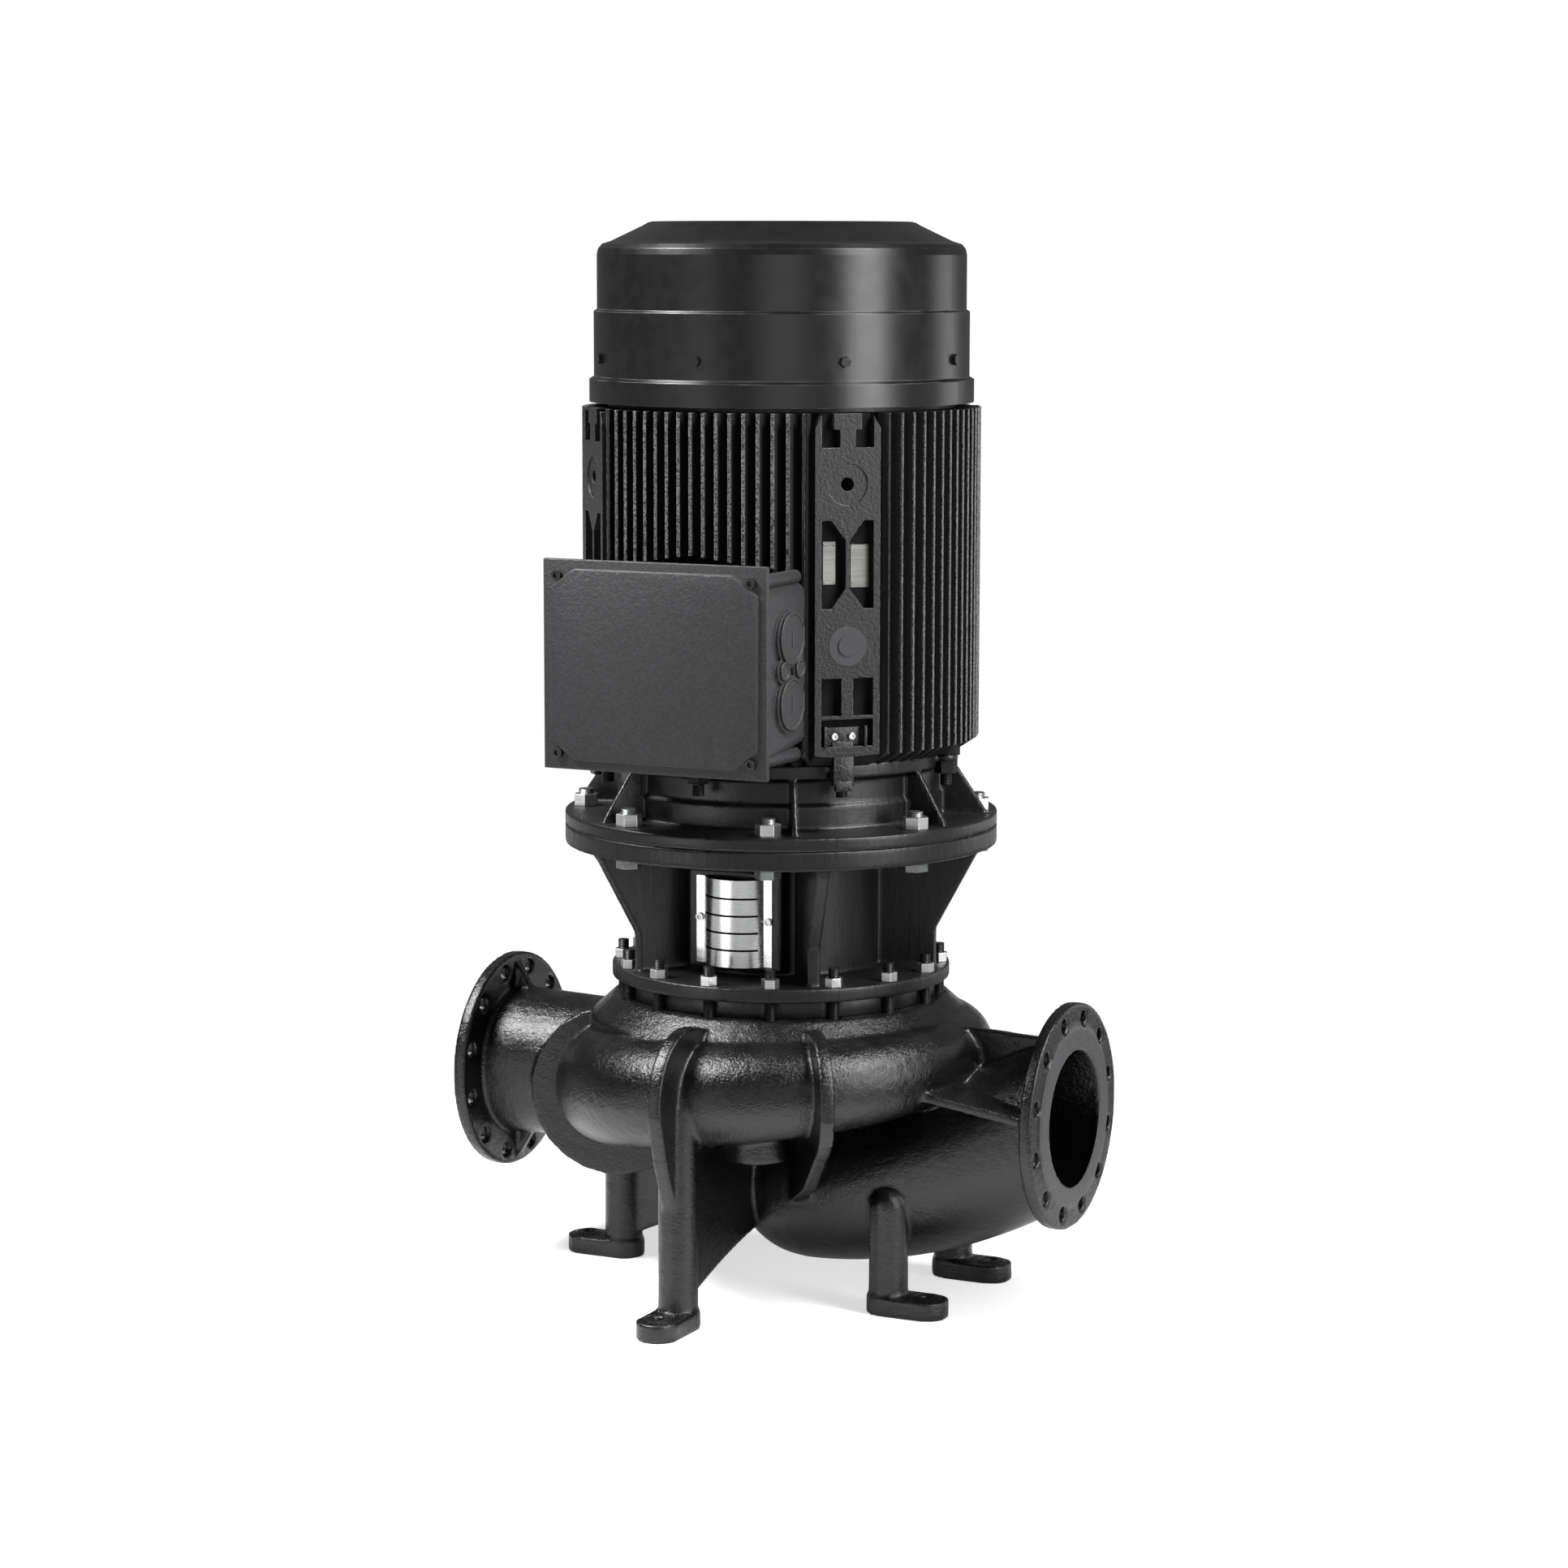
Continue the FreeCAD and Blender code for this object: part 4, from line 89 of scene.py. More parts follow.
class Nodes:
    """A short way to write a node tree."""

    def __init__(self, tree: bpy.types.NodeTree) -> None:
        """Takes the tree that the nodes go into."""
        self.tree = tree

    def add(self, kind: str, settings: Optional[dict] = None, **inputs: Feed) -> bpy.types.Node:
        """Adds a node.

        Args:
            kind: the node's type name without its leading ShaderNode.
            settings: properties of the node.
            inputs: values or sockets for its inputs, with spaces in their names written as _.

        Returns:
            The new node.
        """
        node = self.tree.nodes.new("ShaderNode" + kind)
        for name, value in (settings or {}).items():
            setattr(node, name, value)
        for name, value in inputs.items():
            self.feed(node.inputs[name.replace("_", " ")], value)
        return node

    def feed(self, socket: bpy.types.NodeSocket, value: Feed) -> None:
        """Links a socket to another, or sets its value.

        Args:
            socket: the input that is fed.
            value: the output or the value that feeds it.
        """
        if isinstance(value, bpy.types.NodeSocket):
            self.tree.links.new(value, socket)
        else:
            socket.default_value = value

    def maths(self, operation: str, first: Feed, second: Feed = 0.0,
              clamp: bool = False) -> bpy.types.NodeSocket:
        """Adds a Math node.

        Args:
            operation: the operation's name.
            first, second: values or sockets.
            clamp: whether the result is kept between 0 and 1.

        Returns:
            The result's socket.
        """
        node = self.tree.nodes.new("ShaderNodeMath")
        node.operation = operation
        node.use_clamp = clamp
        self.feed(node.inputs[0], first)
        self.feed(node.inputs[1], second)
        return node.outputs[0]

    def place(self) -> bpy.types.NodeSocket:
        """Where on its object a point lies, as a socket."""
        return self.add("TexCoord").outputs["Object"]

    def noise(self, place: Feed, scale: Feed, detail: float, rough: float = 0.5) -> bpy.types.NodeSocket:
        """Adds a noise.

        Args:
            place: where it is read.
            scale: how fine it is.
            detail: how many finer layers it has.
            rough: how much each finer layer counts.

        Returns:
            The noise's socket.
        """
        return self.add("TexNoise", Vector=place, Scale=scale, Detail=detail, Roughness=rough).outputs[0]

    def between(self, value: Feed, low: float, high: float, to_low: float = 0.0,
                to_high: float = 1.0) -> bpy.types.NodeSocket:
        """Maps a range of values to another, smoothly and clamped.

        Args:
            value: the socket that is read.
            low, high: the range it comes from.
            to_low, to_high: the range it goes to.

        Returns:
            The mapped socket.
        """
        node = self.add("MapRange", {"interpolation_type": "SMOOTHSTEP"}, Value=value)
        ends = {"From Min": low, "From Max": high, "To Min": to_low, "To Max": to_high}
        for name, end in ends.items():
            node.inputs[name].default_value = end
        return node.outputs[0]

    def blend(self, share: Feed, first: Feed, second: Feed) -> bpy.types.NodeSocket:
        """Mixes two colours.

        Args:
            share: how much of the second there is.
            first, second: colours or sockets.

        Returns:
            The mixed colour's socket.
        """
        node = self.tree.nodes.new("ShaderNodeMix")
        node.data_type = "RGBA"
        self.feed(node.inputs[0], share)
        self.feed(node.inputs[6], first)
        self.feed(node.inputs[7], second)
        return node.outputs[2]


class Effect(Enum):
    """The shader groups that several materials share."""

    SAND_GRAIN = "sand_grain"
    WORN_AND_HIGHLIT_EDGE = "worn_and_highlit_edge"
    SETTLED_DUST = "settled_dust"
    BRUSH_LINES = "brush_lines"
    SHADE_AND_TIP_HIGHLIGHT = "shade_and_tip_highlight"
    THREAD = "thread"


class EffectLibrary:
    """Builds each shared shader group once."""

    def __init__(self) -> None:
        """Starts with no group built, and knows the method that fills each."""
        self.built: dict[Effect, bpy.types.NodeTree] = {}
        self.fillers: dict[Effect, Callable[[bpy.types.NodeTree], None]] = {
            Effect.SAND_GRAIN: self.sand_grain, Effect.WORN_AND_HIGHLIT_EDGE: self.worn_and_highlit_edge,
            Effect.SETTLED_DUST: self.settled_dust, Effect.BRUSH_LINES: self.brush_lines,
            Effect.SHADE_AND_TIP_HIGHLIGHT: self.shade_and_tip_highlight, Effect.THREAD: self.thread}

    def tree(self, effect: Effect) -> bpy.types.NodeTree:
        """The group of an effect, built when first asked for.

        Args:
            effect: the effect wanted.

        Returns:
            Its node group.
        """
        if effect not in self.built:
            group = bpy.data.node_groups.new(effect.value, "ShaderNodeTree")
            self.fillers[effect](group)
            self.built[effect] = group
        return self.built[effect]

    @staticmethod
    def sockets(tree: bpy.types.NodeTree, inputs: dict[str, float],
                outputs: Sequence[str]) -> tuple[Nodes, dict[str, bpy.types.NodeSocket], bpy.types.Node]:
        """Gives a group its sockets.

        Args:
            tree: the group.
            inputs: float inputs with their defaults.
            outputs: float outputs.

        Returns:
            The writer for its nodes, its input sockets by name, and its output node.
        """
        for name, value in inputs.items():
            socket = tree.interface.new_socket(name=name, in_out="INPUT", socket_type="NodeSocketFloat")
            socket.default_value = value
        for name in outputs:
            tree.interface.new_socket(name=name, in_out="OUTPUT", socket_type="NodeSocketFloat")
        start = tree.nodes.new("NodeGroupInput")
        end = tree.nodes.new("NodeGroupOutput")
        return Nodes(tree), {name: start.outputs[name] for name in inputs}, end

    def sand_grain(self, tree: bpy.types.NodeTree) -> None:
        """Sand-cast skin under paint: fine grain, larger lumps and small pits.

        Args:
            tree: the empty group.
        """
        write, given, end = self.sockets(tree, {"Grain": 500.0, "Lump": 60.0, "Stretch": 1.0},
                                         ["Height", "Tone", "Gloss"])
        fine, coarse = 0.6, 0.8
        pit_edge, pit_depth = 0.12, 0.35
        middle = (0.3, 0.7)
        stretch = write.add("VectorMath", {"operation": "MULTIPLY"})
        write.feed(stretch.inputs[0], write.place())
        write.feed(stretch.inputs[1], write.add("CombineXYZ", X=1.0, Y=1.0, Z=given["Stretch"]).outputs[0])
        place = stretch.outputs[0]
        grain = write.noise(place, given["Grain"], detail=3.0, rough=0.65)
        lump = write.noise(place, given["Lump"], detail=2.0)
        pits = write.add("TexVoronoi", Vector=place, Scale=given["Lump"]).outputs[0]
        pit = write.between(pits, 0.0, pit_edge, -pit_depth, 0.0)
        grains, lumps = write.maths("MULTIPLY", grain, fine), write.maths("MULTIPLY", lump, coarse)
        height = write.maths("ADD", write.maths("ADD", grains, lumps), pit)
        write.feed(end.inputs["Height"], height)
        write.feed(end.inputs["Tone"], write.between(lump, *middle))
        write.feed(end.inputs["Gloss"], write.between(grain, *middle))

    def worn_and_highlit_edge(self, tree: bpy.types.NodeTree) -> None:
        """A mask that is high along edges, broken up by noise, and the rounded normal that the edges get.

        Args:
            tree: the empty group.
        """
        write, given, end = self.sockets(tree, {"Width": 0.0012, "Break": 160.0}, ["Mask"])
        corner_to_flat = (0.72, 0.99)
        patches = (0.38, 0.6)
        tree.interface.new_socket(name="Normal", in_out="OUTPUT", socket_type="NodeSocketVector")
        rounded = write.add("Bevel", {"samples": 4}, Radius=given["Width"]).outputs[0]
        facing = write.add("VectorMath", {"operation": "DOT_PRODUCT"})
        write.feed(facing.inputs[0], rounded)
        write.feed(facing.inputs[1], write.add("NewGeometry").outputs["True Normal"])
        noise = write.noise(write.place(), given["Break"], detail=4.0)
        edge = write.between(facing.outputs["Value"], *corner_to_flat, 1.0, 0.0)
        write.feed(end.inputs["Mask"], write.maths("MULTIPLY", edge, write.between(noise, *patches)))
        write.feed(end.inputs["Normal"], rounded)

    def settled_dust(self, tree: bpy.types.NodeTree) -> None:
        """A mask that is high where a surface faces up.

        Args:
            tree: the empty group.
        """
        write, given, end = self.sockets(tree, {"Amount": 0.3}, ["Mask"])
        slope_to_level = (0.5, 1.0)
        patches = (0.35, 0.7)
        least = 0.3
        normal = write.add("NewGeometry").outputs["Normal"]
        up = write.add("SeparateXYZ", Vector=normal).outputs["Z"]
        noise = write.noise(write.place(), 22.0, detail=5.0)
        facing = write.between(up, *slope_to_level)
        patch = write.maths("MULTIPLY", facing, write.between(noise, *patches, least, 1.0))
        write.feed(end.inputs["Mask"], write.maths("MULTIPLY", patch, given["Amount"]))

    def brush_lines(self, tree: bpy.types.NodeTree) -> None:
        """Fine lines left by brushing or turning, along the horizontal.

        Args:
            tree: the empty group.
        """
        write, given, end = self.sockets(tree, {"Lines": 900.0}, ["Height", "Tone"])
        along_lines = 6.0
        cloud_share = 0.5
        dull_to_bright = (0.55, 0.95)
        place = write.place()
        parts = write.add("SeparateXYZ", Vector=place)
        along = write.maths("MULTIPLY", parts.outputs["X"], along_lines)
        across = write.maths("MULTIPLY", parts.outputs["Z"], given["Lines"])
        deep = write.maths("MULTIPLY", parts.outputs["Y"], along_lines)
        lines = write.add("CombineXYZ", X=along, Y=deep, Z=across).outputs[0]
        noise = write.noise(lines, 1.0, detail=3.0, rough=0.7)
        cloud = write.noise(place, 30.0, detail=3.0)
        write.feed(end.inputs["Height"], noise)
        tone = write.maths("ADD", noise, write.maths("MULTIPLY", cloud, cloud_share))
        write.feed(end.inputs["Tone"], write.between(tone, *dull_to_bright))

    def shade_and_tip_highlight(self, tree: bpy.types.NodeTree) -> None:
        """Masks by the distance from the shaft axis: how deep a place is, for painted shade in the hollows,
        and the outermost tips, broken up, for a painted highlight.

        Args:
            tree: the empty group.
        """
        write, given, end = self.sockets(tree, {"Deep": 0.284, "Face": 0.295, "Tip": 0.2992},
                                         ["Outside", "TipHighlight"])
        wear = metres(1.2)
        strip_flank = span(286, 291)
        patches = (0.42, 0.6)
        place = write.place()
        parts = write.add("SeparateXYZ", Vector=place)
        flat = write.add("CombineXYZ", X=parts.outputs["X"], Y=parts.outputs["Y"]).outputs[0]
        length = write.add("VectorMath", {"operation": "LENGTH"})
        write.feed(length.inputs[0], flat)
        radius = length.outputs["Value"]
        across = write.maths("ADD", write.maths("ABSOLUTE", parts.outputs["X"]),
                             write.maths("ABSOLUTE", parts.outputs["Y"]))
        diagonal = write.maths("MULTIPLY", across, math.sqrt(0.5))
        # Painted shade mask: 0 deep in the hollows, 1 at the outer faces.
        write.feed(end.inputs["Outside"], self.ramp(write, diagonal, radius, given))
        # Painted highlight mask: the outermost fin tips, broken up.
        speckle = write.noise(place, 330.0, detail=3.0, rough=0.7)
        near = write.between(write.maths("SUBTRACT", radius, given["Tip"]), -wear, 0.0)
        clear = write.between(diagonal, *strip_flank, 1.0, 0.0)
        tips = write.maths("MULTIPLY", near, clear)
        write.feed(end.inputs["TipHighlight"], write.maths("MULTIPLY", tips, write.between(speckle, *patches)))

    @staticmethod
    def ramp(write: Nodes, diagonal: bpy.types.NodeSocket, radius: bpy.types.NodeSocket,
             given: dict[str, bpy.types.NodeSocket]) -> bpy.types.NodeSocket:
        """From 0 below the deep level to 1 at the faces, by the larger of two distances.

        Args:
            write: the group's node writer.
            diagonal: the distance along the strips' normals.
            radius: the distance from the axis.
            given: the group's inputs.

        Returns:
            The ramp's socket.
        """
        root = metres(4)
        reach = write.maths("SUBTRACT", given["Face"], given["Deep"])
        shares = [write.maths("DIVIDE", write.maths("SUBTRACT", distance, given["Deep"]), reach, clamp=True)
                  for distance in (diagonal, write.maths("SUBTRACT", radius, root))]
        return write.maths("MAXIMUM", *shares)

    def thread(self, tree: bpy.types.NodeTree) -> None:
        """The rings of a thread, seen along an upright bolt.

        Args:
            tree: the empty group.
        """
        write, given, end = self.sockets(tree, {"Pitch": 0.002}, ["Height"])
        level = write.add("SeparateXYZ", Vector=write.place()).outputs["Z"]
        turns = write.maths("DIVIDE", level, given["Pitch"])
        write.feed(end.inputs["Height"], write.maths("PINGPONG", turns, 0.5))


EFFECTS = EffectLibrary()


# Finishes

# Worn paint on edges; on the frame's fin edges it is also a painted highlight.
WORN_PAINT_AND_HIGHLIGHT = linear(150, 150, 148)
# Light grey for painted highlights on the frame's fin tips and along the cowl's step edges.
PAINTED_HIGHLIGHT = linear(170, 170, 168)
DUST = linear(92, 90, 86)


@dataclass(frozen=True)
class Finish:
    """A finish: a Principled surface with its own name, fed by the shared effects."""

    name: str
    colour: Colour
    roughness: float
    metallic: float = 0.0
    specular: float = 0.5

    def material(self) -> bpy.types.Material:
        """The finish as a material, made when first asked for.

        Returns:
            The material.
        """
        made = bpy.data.materials.get(self.name)
        if made is None:
            made = bpy.data.materials.new(self.name)
            made.use_nodes = True
            made.diffuse_color = self.colour
            surface = made.node_tree.nodes["Principled BSDF"]
            values = {"Base Color": self.colour, "Roughness": self.roughness, "Metallic": self.metallic,
                      "Specular IOR Level": self.specular}
            for name, value in values.items():
                surface.inputs[name].default_value = value
            self.detail(Nodes(made.node_tree), surface)
        return made

    def detail(self, write: Nodes, surface: bpy.types.Node) -> None:
        """Adds the finish's own effects; a plain finish has none."""

    def uneven(self, write: Nodes, mask: bpy.types.NodeSocket, spread: float) -> bpy.types.NodeSocket:
        """The roughness, spread about its value by a mask.

        Args:
            write: the material's node writer.
            mask: the mask, from 0 to 1.
            spread: how much rougher the mask makes it; below 0 for smoother.

        Returns:
            The roughness's socket.
        """
        return write.maths("ADD", write.maths("MULTIPLY", mask, spread), self.roughness - spread / 2)

    def effect(self, write: Nodes, effect: Effect, **inputs: float) -> bpy.types.Node:
        """Places a shared effect in this material.

        Args:
            write: the material's node writer.
            effect: the effect wanted.
            inputs: its values.

        Returns:
            The group node.
        """
        return write.add("Group", {"node_tree": EFFECTS.tree(effect)}, **inputs)

    def bump(self, write: Nodes, surface: bpy.types.Node, height: bpy.types.NodeSocket, depth: float,
             below: Optional[bpy.types.NodeSocket] = None) -> None:
        """Feeds a height to the surface's normal.

        Args:
            write: the material's node writer.
            surface: the Principled node.
            height: the height from 0 to 1.
            depth: what 1 stands for, in metres.
            below: the normal that the height is laid on.
        """
        node = write.add("Bump", Height=height, Distance=depth)
        if below is not None:
            write.feed(node.inputs["Normal"], below)
        write.feed(surface.inputs["Normal"], node.outputs["Normal"])


@dataclass(frozen=True)
class Paint(Finish):
    """Paint over metal, with the grain of what is below it, lightened edges and a little dust; the edges are
    worn paint, and on the frame and the cowl also a painted highlight.
    """

    grain: float = 420.0
    lump: float = 70.0
    stretch: float = 1.0
    depth: float = 0.0005
    wear_and_highlight: float = 0.25
    wear_and_highlight_colour: Colour = WORN_PAINT_AND_HIGHLIGHT
    edge: float = 0.0014
    gaps: float = 160.0
    dust: float = 0.10
    haze: float = 0.5
    spread: float = 0.12
    lighter: float = 1.5
    gloss_mask: str = "Gloss"

    def detail(self, write: Nodes, surface: bpy.types.Node) -> None:
        """Grain, edges lightened for worn paint and for painted highlight, and dust.

        Args:
            write: the material's node writer.
            surface: the Principled node.
        """
        grain = self.effect(write, Effect.SAND_GRAIN, Grain=self.grain, Lump=self.lump, Stretch=self.stretch)
        edge = self.effect(write, Effect.WORN_AND_HIGHLIT_EDGE, Width=self.edge, Break=self.gaps)
        dust = self.effect(write, Effect.SETTLED_DUST, Amount=self.dust)
        light = scaled(self.colour, self.lighter)
        tone = write.blend(grain.outputs["Tone"], self.colour, light)
        # Edges lightened: worn paint, and on the frame and the cowl a painted highlight.
        wear_and_highlight = write.blend(write.maths("MULTIPLY", edge.outputs["Mask"], self.wear_and_highlight), tone, self.wear_and_highlight_colour)
        write.feed(surface.inputs["Base Color"], write.blend(dust.outputs["Mask"], wear_and_highlight, DUST))
        rough = self.uneven(write, grain.outputs[self.gloss_mask], self.spread)
        haze = write.maths("MULTIPLY", dust.outputs["Mask"], self.haze)
        write.feed(surface.inputs["Roughness"], write.maths("ADD", rough, haze))
        self.bump(write, surface, grain.outputs["Height"], self.depth, edge.outputs["Normal"])


@dataclass(frozen=True)
class PortedCasting(Paint):
    """Painted casting whose machined port faces have thin grey paint."""

    face: float = metres(488.5)
    fade: float = metres(0.5)
    thin: Colour = linear(58, 58, 60)
    dry: float = 0.42

    def detail(self, write: Nodes, surface: bpy.types.Node) -> None:
        """The casting's effects, with the port faces laid over them.

        Args:
            write: the material's node writer.
            surface: the Principled node.
        """
        super().detail(write, surface)
        across = write.add("SeparateXYZ", Vector=write.place()).outputs["X"]
        faces = write.between(write.maths("ABSOLUTE", across), self.face - self.fade, self.face)
        colour, rough = surface.inputs["Base Color"], surface.inputs["Roughness"]
        write.feed(colour, write.blend(faces, colour.links[0].from_socket, self.thin))
        dry = write.maths("MULTIPLY", faces, self.dry)
        write.feed(rough, write.maths("MAXIMUM", rough.links[0].from_socket, dry))


@dataclass(frozen=True)
class FinnedCasting(Paint):
    """Painted casting whose hollows get painted shade and stay dull, and whose fin tips get a painted
    highlight.
    """

    dull: float = 0.9
    shade: float = 0.3
    tip_highlight: float = 0.4

    def detail(self, write: Nodes, surface: bpy.types.Node) -> None:
        """The casting's effects, with painted shade in the hollows and a painted highlight on the tips laid
        over them.

        Args:
            write: the material's node writer.
            surface: the Principled node.
        """
        super().detail(write, surface)
        shade_and_tip_highlight = self.effect(write, Effect.SHADE_AND_TIP_HIGHLIGHT)
        colour, rough = surface.inputs["Base Color"], surface.inputs["Roughness"]
        # Painted shade: the hollows between the fins and in the strip recesses are darkened.
        deep = scaled(self.colour, self.shade)
        dark = write.blend(shade_and_tip_highlight.outputs["Outside"], deep, colour.links[0].from_socket)
        # Painted highlight: the fin tips are blended to a light grey.
        tips = write.maths("MULTIPLY", shade_and_tip_highlight.outputs["TipHighlight"], self.tip_highlight)
        write.feed(colour, write.blend(tips, dark, PAINTED_HIGHLIGHT))
        inside = write.maths("SUBTRACT", 1.0, shade_and_tip_highlight.outputs["Outside"])
        dull = write.maths("MULTIPLY", inside, self.dull)
        write.feed(rough, write.maths("ADD", rough.links[0].from_socket, dull, clamp=True))


@dataclass(frozen=True)
class BareMetal(Finish):
    """Bare or plated metal with brush lines and duller patches."""

    lines: float = 900.0
    depth: float = 0.00004
    patch: float = 0.25
    polish: float = 0.12

    def detail(self, write: Nodes, surface: bpy.types.Node) -> None:
        """Brush lines and duller patches.

        Args:
            write: the material's node writer.
            surface: the Principled node.
        """
        brush = self.effect(write, Effect.BRUSH_LINES, Lines=self.lines)
        dark = scaled(self.colour, 1 - self.patch)
        write.feed(surface.inputs["Base Color"], write.blend(brush.outputs["Tone"], dark, self.colour))
        write.feed(surface.inputs["Roughness"], self.uneven(write, brush.outputs["Tone"], -self.polish))
        self.bump(write, surface, brush.outputs["Height"], self.depth)


@dataclass(frozen=True)
class Threaded(BareMetal):
    """Metal of an upright stud, with the rings of its thread."""

    pitch: float = 0.002

    def detail(self, write: Nodes, surface: bpy.types.Node) -> None:
        """Brush lines and patches in the colour, and the thread as the height.

        Args:
            write: the material's node writer.
            surface: the Principled node.
        """
        super().detail(write, surface)
        thread = self.effect(write, Effect.THREAD, Pitch=self.pitch)
        self.bump(write, surface, thread.outputs["Height"], self.pitch * 0.5)


@dataclass(frozen=True)
class Moulded(Finish):
    """Plastic or rubber with a fine even grain."""

    grain: float = 900.0
    lump: float = 90.0
    depth: float = 0.00006
    spread: float = 0.1
    lighter: float = 1.3

    def detail(self, write: Nodes, surface: bpy.types.Node) -> None:
        """A fine grain and uneven gloss.

        Args:
            write: the material's node writer.
            surface: the Principled node.
        """
        grain = self.effect(write, Effect.SAND_GRAIN, Grain=self.grain, Lump=self.lump)
        light = scaled(self.colour, self.lighter)
        write.feed(surface.inputs["Base Color"], write.blend(grain.outputs["Tone"], self.colour, light))
        write.feed(surface.inputs["Roughness"], self.uneven(write, grain.outputs["Gloss"], self.spread))
        self.bump(write, surface, grain.outputs["Height"], self.depth)


CAST_BLACK = PortedCasting("painted_casting", linear(7, 7, 8), 0.21, specular=0.5, grain=300.0, depth=0.0016)
SHIELD_BLACK = Paint("painted_shield_casting", linear(11, 11, 12), 0.36, specular=0.45)
STOOL_BLACK = Paint("painted_stool_casting", linear(13, 13, 14), 0.4, specular=0.4, stretch=0.16,
                    grain=260.0, lump=110.0, depth=0.0006)
# Strong edge share: worn paint, and a painted highlight on the fin edges.
FRAME_BLACK = FinnedCasting("painted_frame_casting", linear(8, 8, 9), 0.36, specular=0.42, lump=200.0,
                            depth=0.0009, wear_and_highlight=0.7, edge=0.0018)
# The light lines along the cowl's edges are painted highlights.
SMOOTH_BLACK = Paint("satin_cowl_paint", linear(9, 9, 10), 0.3, specular=0.5, grain=260.0, lump=40.0,
                     depth=0.00005, wear_and_highlight=0.6, wear_and_highlight_colour=PAINTED_HIGHLIGHT, edge=0.0016, gaps=18.0, dust=0.03,
                     haze=0.0, spread=0.04, lighter=1.3, gloss_mask="Tone")
BOX_BLACK = Paint("painted_box_casting", linear(40, 40, 42), 0.45, specular=0.42, grain=520.0,
                  lump=230.0, depth=0.0010, wear_and_highlight=0.35)
ZINC = BareMetal("zinc_plating", linear(214, 215, 214), 0.38, metallic=1.0, patch=0.25)
ZINC_THREAD = Threaded("zinc_thread", linear(150, 152, 152), 0.42, metallic=1.0, patch=0.35)
BLACK_STEEL = BareMetal("black_oxide", linear(30, 30, 32), 0.38, metallic=0.5)
BLACK_THREAD = Threaded("black_thread", linear(30, 30, 32), 0.4, metallic=0.5, pitch=0.0025)
STAINLESS = BareMetal("brushed_stainless", linear(222, 223, 224), 0.26, metallic=1.0, lines=1500.0,
                      patch=0.06, depth=0.00002)
BRONZE = BareMetal("cast_bronze", linear(190, 140, 82), 0.38, metallic=1.0, patch=0.3)
SHAFT_STEEL = BareMetal("ground_steel", linear(175, 177, 180), 0.28, metallic=1.0)
LAMINATION = BareMetal("core_sheets", linear(120, 122, 126), 0.5, metallic=0.8, lines=2600.0, depth=0.0002)
COPPER = BareMetal("lacquered_copper", linear(176, 96, 52), 0.4, metallic=0.7, lines=500.0, depth=0.0006)
ALUMINIUM = BareMetal("dull_aluminium", linear(128, 128, 124), 0.5, metallic=0.8, lines=700.0, patch=0.25)
RUBBER = Moulded("black_rubber", linear(30, 30, 30), 0.7)
CARBON = Moulded("seal_carbon", linear(44, 44, 46), 0.35)
BLACK_PLASTIC = Moulded("black_plastic", linear(22, 22, 23), 0.42)
BOARD_PLASTIC = Moulded("board_plastic", linear(150, 118, 84), 0.5)


# Mesh helpers


def dress(thing: bpy.types.Object, finish: Finish) -> None:
    """Gives an object one finish all over."""
    thing.data.materials.clear()
    thing.data.materials.append(finish.material())


def evaluated_copy(thing: bpy.types.Object, name: str) -> bpy.types.Mesh:
    """The mesh of an object with its modifiers applied.

    Args:
        thing: the object.
        name: the new mesh's name.

    Returns:
        The new mesh.
    """
    graph = bpy.context.evaluated_depsgraph_get()
    mesh = bpy.data.meshes.new_from_object(thing.evaluated_get(graph))
    mesh.name = name
    return mesh


def linked(name: str, mesh: bpy.types.Mesh) -> bpy.types.Object:
    """A new object in the scene.

    Args:
        name: its name.
        mesh: its mesh.

    Returns:
        The object.
    """
    thing = bpy.data.objects.new(name, mesh)
    bpy.context.scene.collection.objects.link(thing)
    return thing


# Studio


@dataclass(frozen=True)
class SoftBox:
    """A soft rectangular lamp: where it hangs, where it shines, its width and height, and its watts."""

    name: str
    place: Place
    aim: Place
    size: tuple[float, float]
    power: float

    def hang(self) -> None:
        """Hangs the lamp."""
        data = bpy.data.lights.new(self.name, "AREA")
        data.shape = "RECTANGLE"
        data.size, data.size_y = self.size
        data.energy = self.power
        lamp = bpy.data.objects.new(self.name, data)
        bpy.context.scene.collection.objects.link(lamp)
        lamp.location = self.place
        lamp.rotation_mode = "QUATERNION"
        lamp.rotation_quaternion = (Vector(self.aim) - Vector(self.place)).to_track_quat("-Z", "Y")


MIDDLE = (0.0, 0.0, 0.8)
LAMPS = (
    SoftBox("right_box", (3.9, -0.83, 2.0), MIDDLE, (1.7, 3.6), 150.0),
    SoftBox("left_box", (-2.0, -1.5, 3.5), (-0.1, 0.0, 0.6), (1.4, 1.2), 290.0),
    SoftBox("high_box", (2.4, -0.2, 3.7), (0.25, -0.1, 0.4), (1.0, 1.0), 140.0),
    SoftBox("rear_box", (2.5, 3.4, 1.1), (0.2, 0.0, 0.6), (1.6, 1.8), 16.0),
    SoftBox("low_strip", (-1.5, -3.1, 0.4), (0.0, -0.16, 0.6), (1.8, 0.8), 14.0),
    SoftBox("front_fill", (3.4, -6.9, 2.2), MIDDLE, (3.6, 3.0), 48.0),
    SoftBox("lid_fill", (-2.8, -6.9, 1.6), MIDDLE, (2.6, 3.0), 12.0),
)


